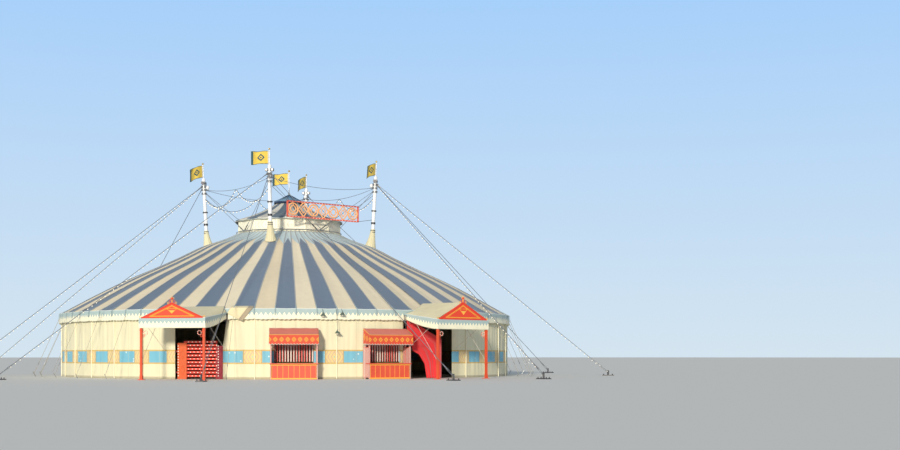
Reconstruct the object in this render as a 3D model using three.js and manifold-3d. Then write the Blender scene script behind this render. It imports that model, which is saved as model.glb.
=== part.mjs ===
// Circus big top: a round four-mast tent with a cupola, modelled at half size.
// Every dimension below is the real tent's, in metres; the root group scales it
// to the 1:2 model in millimetres. +Z is up, the origin lies on the ground on
// the tent's axis, and azimuth is measured from -Y (the entrance side) towards +X.

import * as THREE from 'three';
import { mergeVertices } from 'three/addons/utils/BufferGeometryUtils.js';
import Module from 'manifold-3d';

const wasm = await Module();
wasm.setup();

// Scale and clearance
const MODEL_SCALE = 1 / 2;
const MM_PER_M = 1000;
const SEAT = 0.0008;
const WELD = 0.0002;

// Plan of the tent
const FACETS = 80;
const FACET_PHASE = 1.5;
const MAST_AZIMUTHS = { front: 15, right: 105, back: 195, left: 285 };

// Roof membrane: outer surface from the cupola ring down to the eave
const ROOF_PROFILE = [
  [4.1008, 11.07], [4.9, 10.68], [5.8, 10.35], [7.0, 9.92], [8.4, 9.2],
  [10.0, 8.42], [12.65, 7.2], [15.0, 5.98], [17.4, 4.65],
];
const MEMBRANE = 0.028;
const EAVE_RADIUS = 17.4;
const EAVE_HEIGHT = 4.65;
const VALANCE_DROP = 0.7;

// Side wall and eave frame
const WALL_RADIUS = 17.22;
const WALL_THICKNESS = 0.03;
const WALL_HEIGHT = 4.65;
const HOOP_WIDTH = 0.08;
const POLE_RADIUS = 0.035;
const POLE_STEP = 9;

// Masts
const MAST_RADIUS = 0.14;
const MAST_SIDES = 12;
const MAST_FOOT_R = 6.1;
const MAST_HEAD_R = 6.9;
const MAST_HEAD_Z = 15.35;
const STAFF_TOP_Z = 16.8;
const STAFF_RADIUS = 0.035;
const SLEEVE_TOP_Z = 11.4;
const SLEEVE_FOOT_Z = 9.3;
const SLEEVE_FOOT_RADIUS = 0.48;
const STAY_ANCHOR_R = 25.1;
const STAY_SPREADS = [-36, 0, 36];

// Cupola
const RING_OUTER = 4.1;
const RING_INNER = 3.8;
const RING_TOP = 11.05;
const RING_DEPTH = 0.3;
const BAND_RADIUS = 4.08;
const BAND_TOP = 12.1;
const BAND_THICKNESS = 0.05;
const CAP_RADIUS = 1.2;
const CAP_FOOT_Z = 13.5;
const CAP_TOP_Z = 14.26;
const CUPOLA_STAFF_TOP = 16.16;

// Front of house
const ENTRANCE_AZIMUTH = 6.1;
const SIDE_ENTRANCE_AZIMUTH = 61;
const SIDE_DOORWAY_WIDTH = 4.38;
const PORCH_WIDTH = 4.54;
const GABLE_DISTANCE = 20.75;
const GABLE_EAVE_Z = 3.95;
const BOOTHS = { left: 28, right: 48.5 };
const BOOTH_WIDTH = 3.2;

const rad = THREE.MathUtils.degToRad;

function paint(color, roughness, metalness = 0) {
  return new THREE.MeshStandardMaterial({ color, roughness, metalness });
}

const finish = {
  whiteSteel: paint(0xf0f0f2, 0.4, 0.3),
  greySteel: paint(0x8c9094, 0.45, 0.7),
  rope: paint(0x5c6068, 0.6, 0.4),
  creamCanvas: paint(0xebd9b4, 0.75),
  blueCanvas: paint(0x70849a, 0.75),
  lightCanvas: paint(0xa0bec8, 0.75),
  wallCanvas: paint(0xfdfad7, 0.8),
  capBlue: paint(0x55829f, 0.6),
  flagYellow: paint(0xe1c846, 0.85),
  signRed: paint(0xe0604a, 0.5),
  gableRed: paint(0xeb5f46, 0.6),
  postRed: paint(0xd94f35, 0.5),
  awningRed: paint(0xdc5f4b, 0.75),
  curtainRed: paint(0xc8302c, 0.85),
};

// A point on the plan at a radius and an azimuth in degrees
function polar(radius, azimuth, z) {
  return new THREE.Vector3(radius * Math.sin(rad(azimuth)), -radius * Math.cos(rad(azimuth)), z);
}

// A closed three.js geometry as a solid that can be joined and cut
function solid(geometry) {
  const bare = geometry.index ? geometry.clone() : geometry;
  bare.deleteAttribute('normal');
  bare.deleteAttribute('uv');
  const merged = mergeVertices(bare, 1e-6);
  const triVerts = Uint32Array.from(merged.index.array);
  const vertProperties = Float32Array.from(merged.attributes.position.array);
  let body = new wasm.Manifold(new wasm.Mesh({ numProp: 3, vertProperties, triVerts }));
  if (body.volume() < 0) {
    for (let i = 0; i < triVerts.length; i += 3) {
      [triVerts[i], triVerts[i + 1]] = [triVerts[i + 1], triVerts[i]];
    }
    body = new wasm.Manifold(new wasm.Mesh({ numProp: 3, vertProperties, triVerts }));
  }
  return body;
}

// The finished surface, with edges shorter than the weld drawn together
function surface(body) {
  const mesh = body.simplify(WELD).getMesh();
  const geometry = new THREE.BufferGeometry();
  geometry.setAttribute('position', new THREE.BufferAttribute(mesh.vertProperties, 3));
  geometry.setIndex(new THREE.BufferAttribute(mesh.triVerts, 1));
  geometry.computeVertexNormals();
  return geometry;
}

function join(...bodies) {
  return bodies.reduce((all, body) => all.add(body));
}

// Box between two corners
function block(low, high) {
  const size = high.map((value, i) => value - low[i]);
  const middle = high.map((value, i) => (value + low[i]) / 2);
  return solid(new THREE.BoxGeometry(...size).translate(...middle));
}

// Round bar between two points, its facets turned about its own axis by a share of one facet.
// A long bar gets an edge loop near each end, so that what is joined there meets short facets.
function bar(from, to, radius, sides = 8, topRadius = radius, facetTurn = 0) {
  const along = to.clone().sub(from);
  const length = along.length();
  const slender = length > 200 * radius;
  const stations = slender ? [0, 0.6 / length, 1 - 0.6 / length, 1] : [0, 1];
  const outline = stations.map((t) => new THREE.Vector2(
    radius + (topRadius - radius) * t, (t - 0.5) * length));
  const profile = [new THREE.Vector2(0, -length / 2), ...outline, new THREE.Vector2(0, length / 2)];
  const geometry = new THREE.LatheGeometry(profile, sides, (facetTurn * 2 * Math.PI) / sides);
  const turn = new THREE.Quaternion().setFromUnitVectors(
    new THREE.Vector3(0, 1, 0), along.clone().normalize());
  geometry.applyQuaternion(turn);
  const middle = from.clone().add(to).multiplyScalar(0.5);
  geometry.translate(middle.x, middle.y, middle.z);
  return solid(geometry);
}

// Tube along a smooth route
function tube(points, radius, steps, sides = 8) {
  const section = new THREE.Shape();
  for (let i = 0; i < sides; i++) {
    const angle = (2 * Math.PI * i) / sides;
    const place = [radius * Math.cos(angle), radius * Math.sin(angle)];
    if (i === 0) section.moveTo(...place);
    else section.lineTo(...place);
  }
  const route = new THREE.CatmullRomCurve3(points);
  return solid(new THREE.ExtrudeGeometry(section, { steps, extrudePath: route }));
}

// Full ring turned from a closed [radius, z] outline
function turned(outline, facets = FACETS, phase = FACET_PHASE) {
  const points = [...outline, outline[0]].map(([r, z]) => new THREE.Vector2(r, z));
  return solid(new THREE.LatheGeometry(points, facets, rad(phase)).rotateX(Math.PI / 2));
}

// The part of a ring between two azimuths, pulled in by the seat at both ends
function sector(ring, from, to) {
  const reach = 40;
  const steps = Math.ceil((to - from) / 30);
  const wedge = new THREE.Shape();
  const middle = polar(SEAT, (from + to) / 2, 0);
  wedge.moveTo(middle.x, middle.y);
  for (let i = 0; i <= steps; i++) {
    const edge = polar(reach, from + ((to - from) * i) / steps, 0).add(middle);
    wedge.lineTo(edge.x, edge.y);
  }
  const prism = new THREE.ExtrudeGeometry(wedge, { depth: 20, bevelEnabled: false });
  return ring.intersect(solid(prism.translate(0, 0, -1)));
}

function prismAcross(outline, width) {
  const shape = new THREE.Shape(outline.map(([y, z]) => new THREE.Vector2(y, z)));
  const geometry = new THREE.ExtrudeGeometry(shape, { depth: width, bevelEnabled: false });
  geometry.translate(0, 0, -width / 2);
  geometry.applyMatrix4(new THREE.Matrix4().set(0, 0, 1, 0, 1, 0, 0, 0, 0, 1, 0, 0, 0, 0, 0, 1));
  return solid(geometry);
}

// Flat panel with an [x, z] outline, between two y values
function panel(outline, yFront, yBack) {
  const shape = new THREE.Shape(outline.map(([x, z]) => new THREE.Vector2(x, z)));
  const depth = yBack - yFront;
  const geometry = new THREE.ExtrudeGeometry(shape, { depth, bevelEnabled: false });
  geometry.rotateX(Math.PI / 2).translate(0, yBack, 0);
  return solid(geometry);
}

const tent = new THREE.Group();
tent.name = 'big_top';
tent.scale.setScalar(MM_PER_M * MODEL_SCALE);

function place(name, body, material, parent = tent) {
  const mesh = new THREE.Mesh(surface(body), material);
  mesh.name = name;
  parent.add(mesh);
  return mesh;
}

// A group whose own -Y points out of the tent at an azimuth
function bay(azimuth) {
  const group = new THREE.Group();
  group.rotation.z = rad(azimuth);
  tent.add(group);
  return group;
}

// Height of the roof's outer surface at a radius
function roofHeight(radius) {
  for (let i = 1; i < ROOF_PROFILE.length; i++) {
    const [r0, z0] = ROOF_PROFILE[i - 1];
    const [r1, z1] = ROOF_PROFILE[i];
    if (radius <= r1) return z0 + ((z1 - z0) * (radius - r0)) / (r1 - r0);
  }
  return EAVE_HEIGHT;
}

// Everything under the roof and behind the valance, grown by the seat:
// what is fitted over the canvas is trimmed with it
function tentEnvelope(azimuth = 0) {
  const skirtRadius = EAVE_RADIUS + SEAT + WALL_THICKNESS + SEAT;
  const slope = ROOF_PROFILE.map(([r, z]) => [r, z + SEAT]).reverse();
  const skirtTop = [[skirtRadius, 0], [skirtRadius, EAVE_HEIGHT + 0.01 + SEAT]];
  const shoulder = [[EAVE_RADIUS, EAVE_HEIGHT + 0.01 + SEAT]];
  const outline = [[0.01, 0], ...skirtTop, ...shoulder, ...slope, [0.01, 11.2]];
  return turned(outline, FACETS, FACET_PHASE - azimuth);
}

// Masts: base plate, leaning tube, collars, crosshead and flag staff

function mastPoint(azimuth, z) {
  return polar(MAST_FOOT_R + ((MAST_HEAD_R - MAST_FOOT_R) * z) / MAST_HEAD_Z, azimuth, z);
}

function mastCollar(azimuth, z, radius, height) {
  const [low, high] = [mastPoint(azimuth, z), mastPoint(azimuth, z + height)];
  return bar(low, high, radius, MAST_SIDES, radius, 0.5);
}

// The space that the mast's tube takes between two heights, with the seat round it
function mastSpace(azimuth, low, high) {
  return bar(mastPoint(azimuth, low), mastPoint(azimuth, high), MAST_RADIUS + SEAT, MAST_SIDES);
}

// A clamp ring round the mast, and the point on it that a rope starts from
function mastRing(azimuth, z, height) {
  return mastCollar(azimuth, z, MAST_RADIUS + 0.085, height)
    .subtract(mastSpace(azimuth, z - 0.2, z + height + 0.2));
}

function ringPoint(azimuth, z, toward) {
  const axis = mastPoint(azimuth, z);
  const way = toward.clone().sub(axis).setZ(0).normalize();
  return axis.addScaledVector(way, MAST_RADIUS + 0.037);
}

function mastBody(azimuth) {
  const at = (z) => mastPoint(azimuth, z);
  const foot = at(0);
  const plate = new THREE.BoxGeometry(0.9, 0.9, 0.05).rotateZ(rad(azimuth));
  const shoe = new THREE.BoxGeometry(0.42, 0.34, 0.4).rotateZ(rad(azimuth));
  const head = at(MAST_HEAD_Z - 0.06);
  const crosshead = new THREE.BoxGeometry(0.62, 0.26, 0.2).rotateZ(rad(azimuth));
  return join(
    solid(plate.translate(foot.x, foot.y, 0.025)),
    solid(shoe.translate(foot.x, foot.y, 0.2)),
    bar(at(0.03), at(MAST_HEAD_Z + 0.3), MAST_RADIUS, MAST_SIDES),
    mastCollar(azimuth, 12.9, 0.2, 0.09),
    mastCollar(azimuth, 11.9, 0.17, 0.16),
    solid(crosshead.translate(head.x, head.y, head.z)),
    bar(at(MAST_HEAD_Z + 0.2), at(STAFF_TOP_Z), STAFF_RADIUS),
    solid(new THREE.IcosahedronGeometry(0.07, 1).translate(...at(STAFF_TOP_Z).toArray())),
  );
}

for (const [side, azimuth] of Object.entries(MAST_AZIMUTHS)) {
  place(`mast_${side}`, mastBody(azimuth), finish.whiteSteel);
}

// Sleeves: fabric funnels that close the roof round each mast

const roofSpace = tentEnvelope();
for (const [side, azimuth] of Object.entries(MAST_AZIMUTHS)) {
  const neck = MAST_RADIUS + SEAT;
  const wall = 0.03;
  const from = mastPoint(azimuth, SLEEVE_FOOT_Z);
  const to = mastPoint(azimuth, SLEEVE_TOP_Z);
  const outer = join(
    bar(from, to, SLEEVE_FOOT_RADIUS, MAST_SIDES, neck + wall, 0.5),
    mastCollar(azimuth, SLEEVE_TOP_Z - 0.06, neck + wall + 0.025, 0.2),
  );
  const inner = join(
    bar(mastPoint(azimuth, SLEEVE_FOOT_Z - 0.1), to, SLEEVE_FOOT_RADIUS, MAST_SIDES, neck + 0.004, 0.3),
    mastSpace(azimuth, SLEEVE_TOP_Z - 0.4, SLEEVE_TOP_Z + 0.5),
  );
  place(`mast_sleeve_${side}`, outer.subtract(inner).subtract(roofSpace), finish.creamCanvas);
}

// Flags: wind-blown sheets laced to the staffs

const WIND_AZIMUTH = 27 - 90;

function flag(staffAt, topZ, length, height, heading, droop, waves) {
  const steps = 12;
  const thickness = 0.02;
  const side = (i, half) => {
    const along = (length * i) / steps;
    const sway = 0.07 * (i / steps) * Math.sin((waves * 2 * Math.PI * i) / steps);
    return new THREE.Vector2(along, sway + half);
  };
  const outline = [];
  for (let i = 0; i <= steps; i++) outline.push(side(i, thickness / 2));
  for (let i = steps; i >= 0; i--) outline.push(side(i, -thickness / 2));
  const geometry = new THREE.ExtrudeGeometry(new THREE.Shape(outline),
    { depth: height, bevelEnabled: false });
  const corners = geometry.attributes.position;
  const fly = polar(1, heading, 0);
  const across = polar(1, heading + 90, 0);
  for (let i = 0; i < corners.count; i++) {
    const [along, sway, up] = [corners.getX(i), corners.getY(i), corners.getZ(i)];
    const corner = staffAt(topZ - height + up).clone();
    corner.addScaledVector(fly, along).addScaledVector(across, sway);
    corners.setXYZ(i, corner.x, corner.y, corner.z - droop * Math.max(0, along / length) ** 1.5);
  }
  return solid(geometry);
}

const MAST_FLAGS = {
  front: { yaw: 6, droop: 0.12 },
  right: { yaw: 52, droop: 0.42 },
  back: { yaw: 56, droop: 0.5 },
  left: { yaw: 42, droop: 0.5 },
};
for (const [side, { yaw, droop }] of Object.entries(MAST_FLAGS)) {
  const staffAt = (z) => mastPoint(MAST_AZIMUTHS[side], z);
  const staff = bar(staffAt(MAST_HEAD_Z), staffAt(STAFF_TOP_Z + 0.1), STAFF_RADIUS + SEAT);
  const sheet = flag(staffAt, STAFF_TOP_Z - 0.12, 1.35, 0.95, WIND_AZIMUTH + yaw, droop, 1.2)
    .subtract(staff);
  place(`flag_${side}`, sheet, finish.flagYellow);
}

// Ground stays: three ropes from each mast head, with end fittings, to plates pegged into the ground

for (const [side, azimuth] of Object.entries(MAST_AZIMUTHS)) {
  const parts = [mastRing(azimuth, 14.9, 0.2)];
  for (const spread of STAY_SPREADS) {
    const anchor = polar(STAY_ANCHOR_R, azimuth + spread, 0);
    const plate = new THREE.BoxGeometry(0.5, 0.9, 0.06).rotateZ(rad(azimuth + spread));
    const peg = [anchor.clone().setZ(0.02), anchor.clone().setZ(0.42)];
    const top = ringPoint(azimuth, 15.0, anchor);
    const foot = anchor.clone().setZ(0.28);
    const run = top.distanceTo(foot);
    const along = (distance) => top.clone().lerp(foot, distance / run);
    parts.push(bar(top, along(0.5), 0.045, 6, 0.045, 0.25));
    parts.push(bar(along(0.45), along(run - 0.85), 0.025, 6));
    parts.push(bar(along(run - 0.9), foot, 0.042, 6, 0.042, 0.25));
    parts.push(solid(plate.translate(anchor.x, anchor.y, 0.03)));
    parts.push(bar(...peg, 0.07, 8, 0.07, 0.3));
  }
  place(`ground_stays_${side}`, join(...parts), finish.rope);
}

// Head rope: one loop of wire that ties the four mast heads together

const sides = Object.keys(MAST_AZIMUTHS);
const HEAD_ROPE_Z = 14.74;
const HEAD_ROPE_SAG = 0.42;

const nextSide = (side) => sides[(sides.indexOf(side) + 1) % sides.length];

function headSpan(side, z, sag, count = 7) {
  const [here, there] = [MAST_AZIMUTHS[side], MAST_AZIMUTHS[nextSide(side)]];
  const start = ringPoint(here, z, mastPoint(there, z));
  const end = ringPoint(there, z, mastPoint(here, z));
  const points = [];
  for (let i = 0; i < count; i++) {
    const t = i / (count - 1);
    const point = start.clone().lerp(end, t);
    point.z -= sag * 4 * t * (1 - t);
    points.push(point);
  }
  return points;
}

{
  const parts = [];
  for (const side of sides) {
    parts.push(mastRing(MAST_AZIMUTHS[side], HEAD_ROPE_Z - 0.06, 0.12));
    parts.push(tube(headSpan(side, HEAD_ROPE_Z, HEAD_ROPE_SAG), 0.02, 8, 5));
  }
  place('head_rope', join(...parts), finish.rope);
}

// Cupola: hung ring, painted band, striped roof, blue cap and flag staff

place('cupola_ring', turned([
  [RING_INNER, RING_TOP - RING_DEPTH], [RING_OUTER, RING_TOP - RING_DEPTH],
  [RING_OUTER, RING_TOP], [RING_INNER, RING_TOP],
], FACETS / 2), finish.greySteel);

const bandFoot = RING_TOP + SEAT;
place('cupola_band', turned([
  [BAND_RADIUS - BAND_THICKNESS, bandFoot], [BAND_RADIUS, bandFoot],
  [BAND_RADIUS, BAND_TOP], [BAND_RADIUS - BAND_THICKNESS, BAND_TOP],
], 12, 15), finish.wallCanvas);

const cupolaSkin = 0.035;
const cupolaCurve = [[4.2, BAND_TOP], [3.3, 12.4], [2.4, 12.76], [1.7, 13.12], [1.3, CAP_FOOT_Z]];
const cupolaFoot = BAND_TOP + SEAT;
const cupolaOuter = cupolaCurve.map(([r, z]) => [r, z + SEAT + cupolaSkin]);
const cupolaInner = cupolaCurve.slice(1).map(([r, z]) => [r - cupolaSkin, z + SEAT]).reverse();
const cupolaRim = [[4.2, cupolaFoot], [BAND_RADIUS - 2 * BAND_THICKNESS, cupolaFoot]];
const topZ = CAP_FOOT_Z + cupolaSkin;
cupolaOuter[cupolaOuter.length - 1] = [1.05, topZ];
cupolaInner[0] = [0.98, topZ];
place('cupola_roof', turned([...cupolaRim.reverse(), ...cupolaOuter, ...cupolaInner], 24, 7.5),
  finish.blueCanvas);

const capFoot = topZ + SEAT;
place('cupola_cap', turned([
  [0.001, CAP_TOP_Z], [0.09, CAP_TOP_Z], [CAP_RADIUS, capFoot + 0.16], [CAP_RADIUS, capFoot],
  [CAP_RADIUS - 0.3, capFoot], [0.001, CAP_TOP_Z - 0.1],
], 12, 15), finish.capBlue);

place('cupola_staff', join(
  bar(new THREE.Vector3(0, 0, CAP_TOP_Z + SEAT), new THREE.Vector3(0, 0, CAP_TOP_Z + 0.12), 0.08, 12),
  bar(new THREE.Vector3(0, 0, CAP_TOP_Z + 0.1), new THREE.Vector3(0, 0, CUPOLA_STAFF_TOP), 0.04),
  solid(new THREE.IcosahedronGeometry(0.08, 1).translate(0, 0, CUPOLA_STAFF_TOP)),
), finish.whiteSteel);

{
  const staffAt = (z) => new THREE.Vector3(0, 0, z);
  const staffSpace = bar(new THREE.Vector3(0, 0, 13), new THREE.Vector3(0, 0, 17), 0.04 + SEAT);
  const sheet = flag(staffAt, CUPOLA_STAFF_TOP - 0.16, 1.3, 0.88, WIND_AZIMUTH, 0.15, 1.1)
    .subtract(staffSpace);
  place('flag_cupola', sheet, finish.flagYellow);
}

// Crown ropes: eight wires from the mast heads to a collar round the cupola's foot

{
  const collarInner = BAND_RADIUS + SEAT;
  const collar = turned([
    [collarInner, 11.14], [collarInner + 0.06, 11.14],
    [collarInner + 0.06, 11.24], [collarInner, 11.24],
  ], 24, 15);
  const parts = [collar];
  for (const azimuth of Object.values(MAST_AZIMUTHS)) {
    for (const turn of [-44, 44]) {
      const foot = polar(collarInner + 0.03, azimuth + turn, 11.19);
      parts.push(bar(ringPoint(azimuth, 14.46, foot), foot, 0.022, 6));
    }
    parts.push(mastRing(azimuth, 14.38, 0.14));
  }
  place('crown_ropes', join(...parts), finish.rope);
}

// Roof sign: red frame with plain ornament, hung between the front and right masts

{
  const length = 6.6;
  const height = 1.25;
  const distance = 4.78;
  const footZ = 11.95;
  const half = length / 2;
  const bracing = 0.05;
  const parts = [
    block([-half, -bracing, footZ], [half, bracing, footZ + 0.1]),
    block([-half, -bracing, footZ + height - 0.1], [half, bracing, footZ + height]),
    block([-half, -bracing, footZ], [-half + 0.1, bracing, footZ + height]),
    block([half - 0.1, -bracing, footZ], [half, bracing, footZ + height]),
  ];
  const motifs = 7;
  const pitch = (length - 0.2) / motifs;
  const midZ = footZ + height / 2;
  for (let i = 0; i < motifs; i++) {
    const x = -half + 0.1 + pitch * (i + 0.5);
    if (i % 2 === 0) {
      const ring = new THREE.TorusGeometry(pitch / 2, 0.045, 4, 16).rotateX(Math.PI / 2);
      parts.push(solid(ring.translate(x, 0, midZ)));
      continue;
    }
    const lozenge = height / 2 - 0.06;
    for (const turn of [-1, 1]) {
      const low = new THREE.Vector3(x, 0, midZ - lozenge);
      const high = new THREE.Vector3(x, 0, midZ + lozenge);
      const tip = new THREE.Vector3(x + turn * (pitch / 2 + 0.02), 0, midZ);
      parts.push(bar(low, tip, 0.035, 4), bar(tip, high, 0.035, 4));
    }
  }
  const signAzimuth = (MAST_AZIMUTHS.front + MAST_AZIMUTHS.right) / 2;
  for (const [turn, side] of [[-1, 'front'], [1, 'right']]) {
    const local = (z) => mastPoint(MAST_AZIMUTHS[side] - signAzimuth, z);
    const corner = (z) => new THREE.Vector3(turn * (half - 0.05), 0, z);
    const shift = new THREE.Vector3(0, distance, 0);
    parts.push(bar(corner(footZ + height - 0.05), local(14.25).add(shift), 0.02, 6));
    parts.push(bar(corner(footZ + 0.05), local(12.25).add(shift), 0.02, 6));
  }
  const holder = bay(signAzimuth);
  const sign = join(...parts).translate([0, -distance, 0]);
  let trimmed = sign.rotate([0, 0, signAzimuth]);
  for (const side of ['front', 'right']) {
    trimmed = trimmed.subtract(mastSpace(MAST_AZIMUTHS[side], 11.6, 14.9));
  }
  place('roof_sign', trimmed.rotate([0, 0, -signAzimuth]), finish.signRed, holder);
}

// Garlands: lamp strings that hang in two swags on three sides of the mast square

const GARLAND_Z = 14.1;
const GARLAND_RADIUS = 0.016;

function garlandRoute(side) {
  const here = mastPoint(MAST_AZIMUTHS[side], GARLAND_Z);
  const there = mastPoint(MAST_AZIMUTHS[nextSide(side)], GARLAND_Z);
  const clipZ = HEAD_ROPE_Z - HEAD_ROPE_SAG - 0.02 - GARLAND_RADIUS - SEAT;
  const inset = (MAST_RADIUS + SEAT) / here.distanceTo(there);
  const swagDrop = 1.0;
  const points = [];
  const count = 17;
  for (let i = 0; i < count; i++) {
    const t = inset + ((1 - 2 * inset) * i) / (count - 1);
    const swag = t < 0.5 ? 2 * t : 2 - 2 * t;
    const point = here.clone().lerp(there, t);
    point.z += (clipZ - GARLAND_Z) * swag - swagDrop * 4 * swag * (1 - swag);
    points.push(point);
  }
  return points;
}

for (const side of ['right', 'back', 'left']) {
  const string = tube(garlandRoute(side), GARLAND_RADIUS, 28, 8)
    .subtract(mastSpace(MAST_AZIMUTHS[side], GARLAND_Z - 0.8, GARLAND_Z + 0.5))
    .subtract(mastSpace(MAST_AZIMUTHS[nextSide(side)], GARLAND_Z - 0.8, GARLAND_Z + 0.5));
  place(`garland_${side}`, string, finish.rope);
}

// Roof membrane in quarters, with a hole for each mast under its sleeve

{
  const under = ROOF_PROFILE.map(([r, z]) => [r, z - MEMBRANE]).reverse();
  const skin = turned([...ROOF_PROFILE, ...under]);
  for (const [side, azimuth] of Object.entries(MAST_AZIMUTHS)) {
    const hole = bar(mastPoint(azimuth, 9), mastPoint(azimuth, 11), 0.3, 12);
    const quarter = sector(skin, azimuth - 45, azimuth + 45).subtract(hole);
    place(`roof_${side}`, quarter, finish.creamCanvas);
  }
}

// Eave frame: hoop and side poles, in quarters; no pole stands in a doorway

const hoopInner = WALL_RADIUS + SEAT;
const hoopOuter = hoopInner + HOOP_WIDTH;
const hoopTop = roofHeight(hoopOuter) - MEMBRANE - SEAT;
const poleLine = (hoopInner + hoopOuter) / 2;
const doorwayPoles = [1.5, 10.5, 28.5, 46.5, 64.5];
const CURTAIN_POLE = 55.5;

{
  const hoop = turned([
    [hoopInner, hoopTop - 0.07], [hoopOuter, hoopTop - 0.07],
    [hoopOuter, hoopTop], [hoopInner, hoopTop],
  ]);
  for (const [side, azimuth] of Object.entries(MAST_AZIMUTHS)) {
    const parts = [sector(hoop, azimuth - 45, azimuth + 45)];
    for (let k = 0; k < 10; k++) {
      const at = azimuth - 40.5 + POLE_STEP * k;
      if (doorwayPoles.includes(at)) continue;
      parts.push(bar(polar(poleLine, at, 0), polar(poleLine, at, hoopTop - 0.03), POLE_RADIUS));
    }
    place(`eave_frame_${side}`, join(...parts), finish.whiteSteel);
  }
}

// Valance: the strip that hangs from the eave, in quarters

{
  const inner = EAVE_RADIUS + SEAT;
  const outer = inner + WALL_THICKNESS;
  const foot = EAVE_HEIGHT - VALANCE_DROP;
  const strip = turned([
    [inner, foot], [outer, foot], [outer, EAVE_HEIGHT + 0.01], [inner, EAVE_HEIGHT + 0.01],
  ]);
  for (const [side, azimuth] of Object.entries(MAST_AZIMUTHS)) {
    place(`valance_${side}`, sector(strip, azimuth - 45, azimuth + 45), finish.lightCanvas);
  }
}

// Side wall in lengths, with the doorways between them and a hatch behind each booth

const MAIN_DOORWAY = [1.1, 12.4];
const sideTurn = THREE.MathUtils.radToDeg(Math.asin(SIDE_DOORWAY_WIDTH / 2 / WALL_RADIUS));
const WALLS = {
  wall_booths: [MAIN_DOORWAY[1], SIDE_ENTRANCE_AZIMUTH - sideTurn],
  wall_right: [SIDE_ENTRANCE_AZIMUTH + sideTurn, 118.5],
  wall_back_right: [118.5, 172.5],
  wall_back: [172.5, 231],
  wall_back_left: [231, 289.5],
  wall_left: [289.5, 360 + MAIN_DOORWAY[0]],
};

{
  const inner = WALL_RADIUS - WALL_THICKNESS;
  const ring = turned([[inner, 0], [WALL_RADIUS, 0], [WALL_RADIUS, WALL_HEIGHT], [inner, WALL_HEIGHT]]);
  for (const [name, [from, to]] of Object.entries(WALLS)) {
    let length = sector(ring, from, to);
    if (name === 'wall_booths') {
      for (const azimuth of Object.values(BOOTHS)) {
        const halfHatch = BOOTH_WIDTH / 2 - 0.3;
        const hatch = block([-halfHatch, -18, 1.1], [halfHatch, -16, 2.9]);
        length = length.subtract(hatch.rotate([0, 0, azimuth]));
      }
    }
    place(name, length, finish.wallCanvas);
  }
}

// Porches: a gable board on two posts, canvas drawn back from it over the eave, and a valance
// that narrows towards the tent. The rear ends bear on the eave, and the main ridge hangs low.

const PORCHES = {
  entrance: { azimuth: ENTRANCE_AZIMUTH, gableRise: 1.0, frontRidge: 4.55, ridgeEnd: [-16.6, 4.83] },
  side: { azimuth: SIDE_ENTRANCE_AZIMUTH, gableRise: 1.22, frontRidge: 5.12, ridgeEnd: [-15.9, 5.12] },
};
const gableFoot = GABLE_EAVE_Z + SEAT;
const gableFace = -GABLE_DISTANCE;
const gableBoard = 0.06;
const canopyFace = gableFace + gableBoard + SEAT;
const porchBack = -17.0;
const porchBackZ = 4.42;

// Height of a canopy's side edge, which climbs from the gable to the eave
function porchEdge(y) {
  return gableFoot + ((porchBackZ - gableFoot) * (y - canopyFace)) / (porchBack - canopyFace);
}

// Flat sheet over a triangle of points
function slab(corners, thickness) {
  return wasm.Manifold.hull([...corners, ...corners.map(([x, y, z]) => [x, y, z + thickness])]);
}

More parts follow.
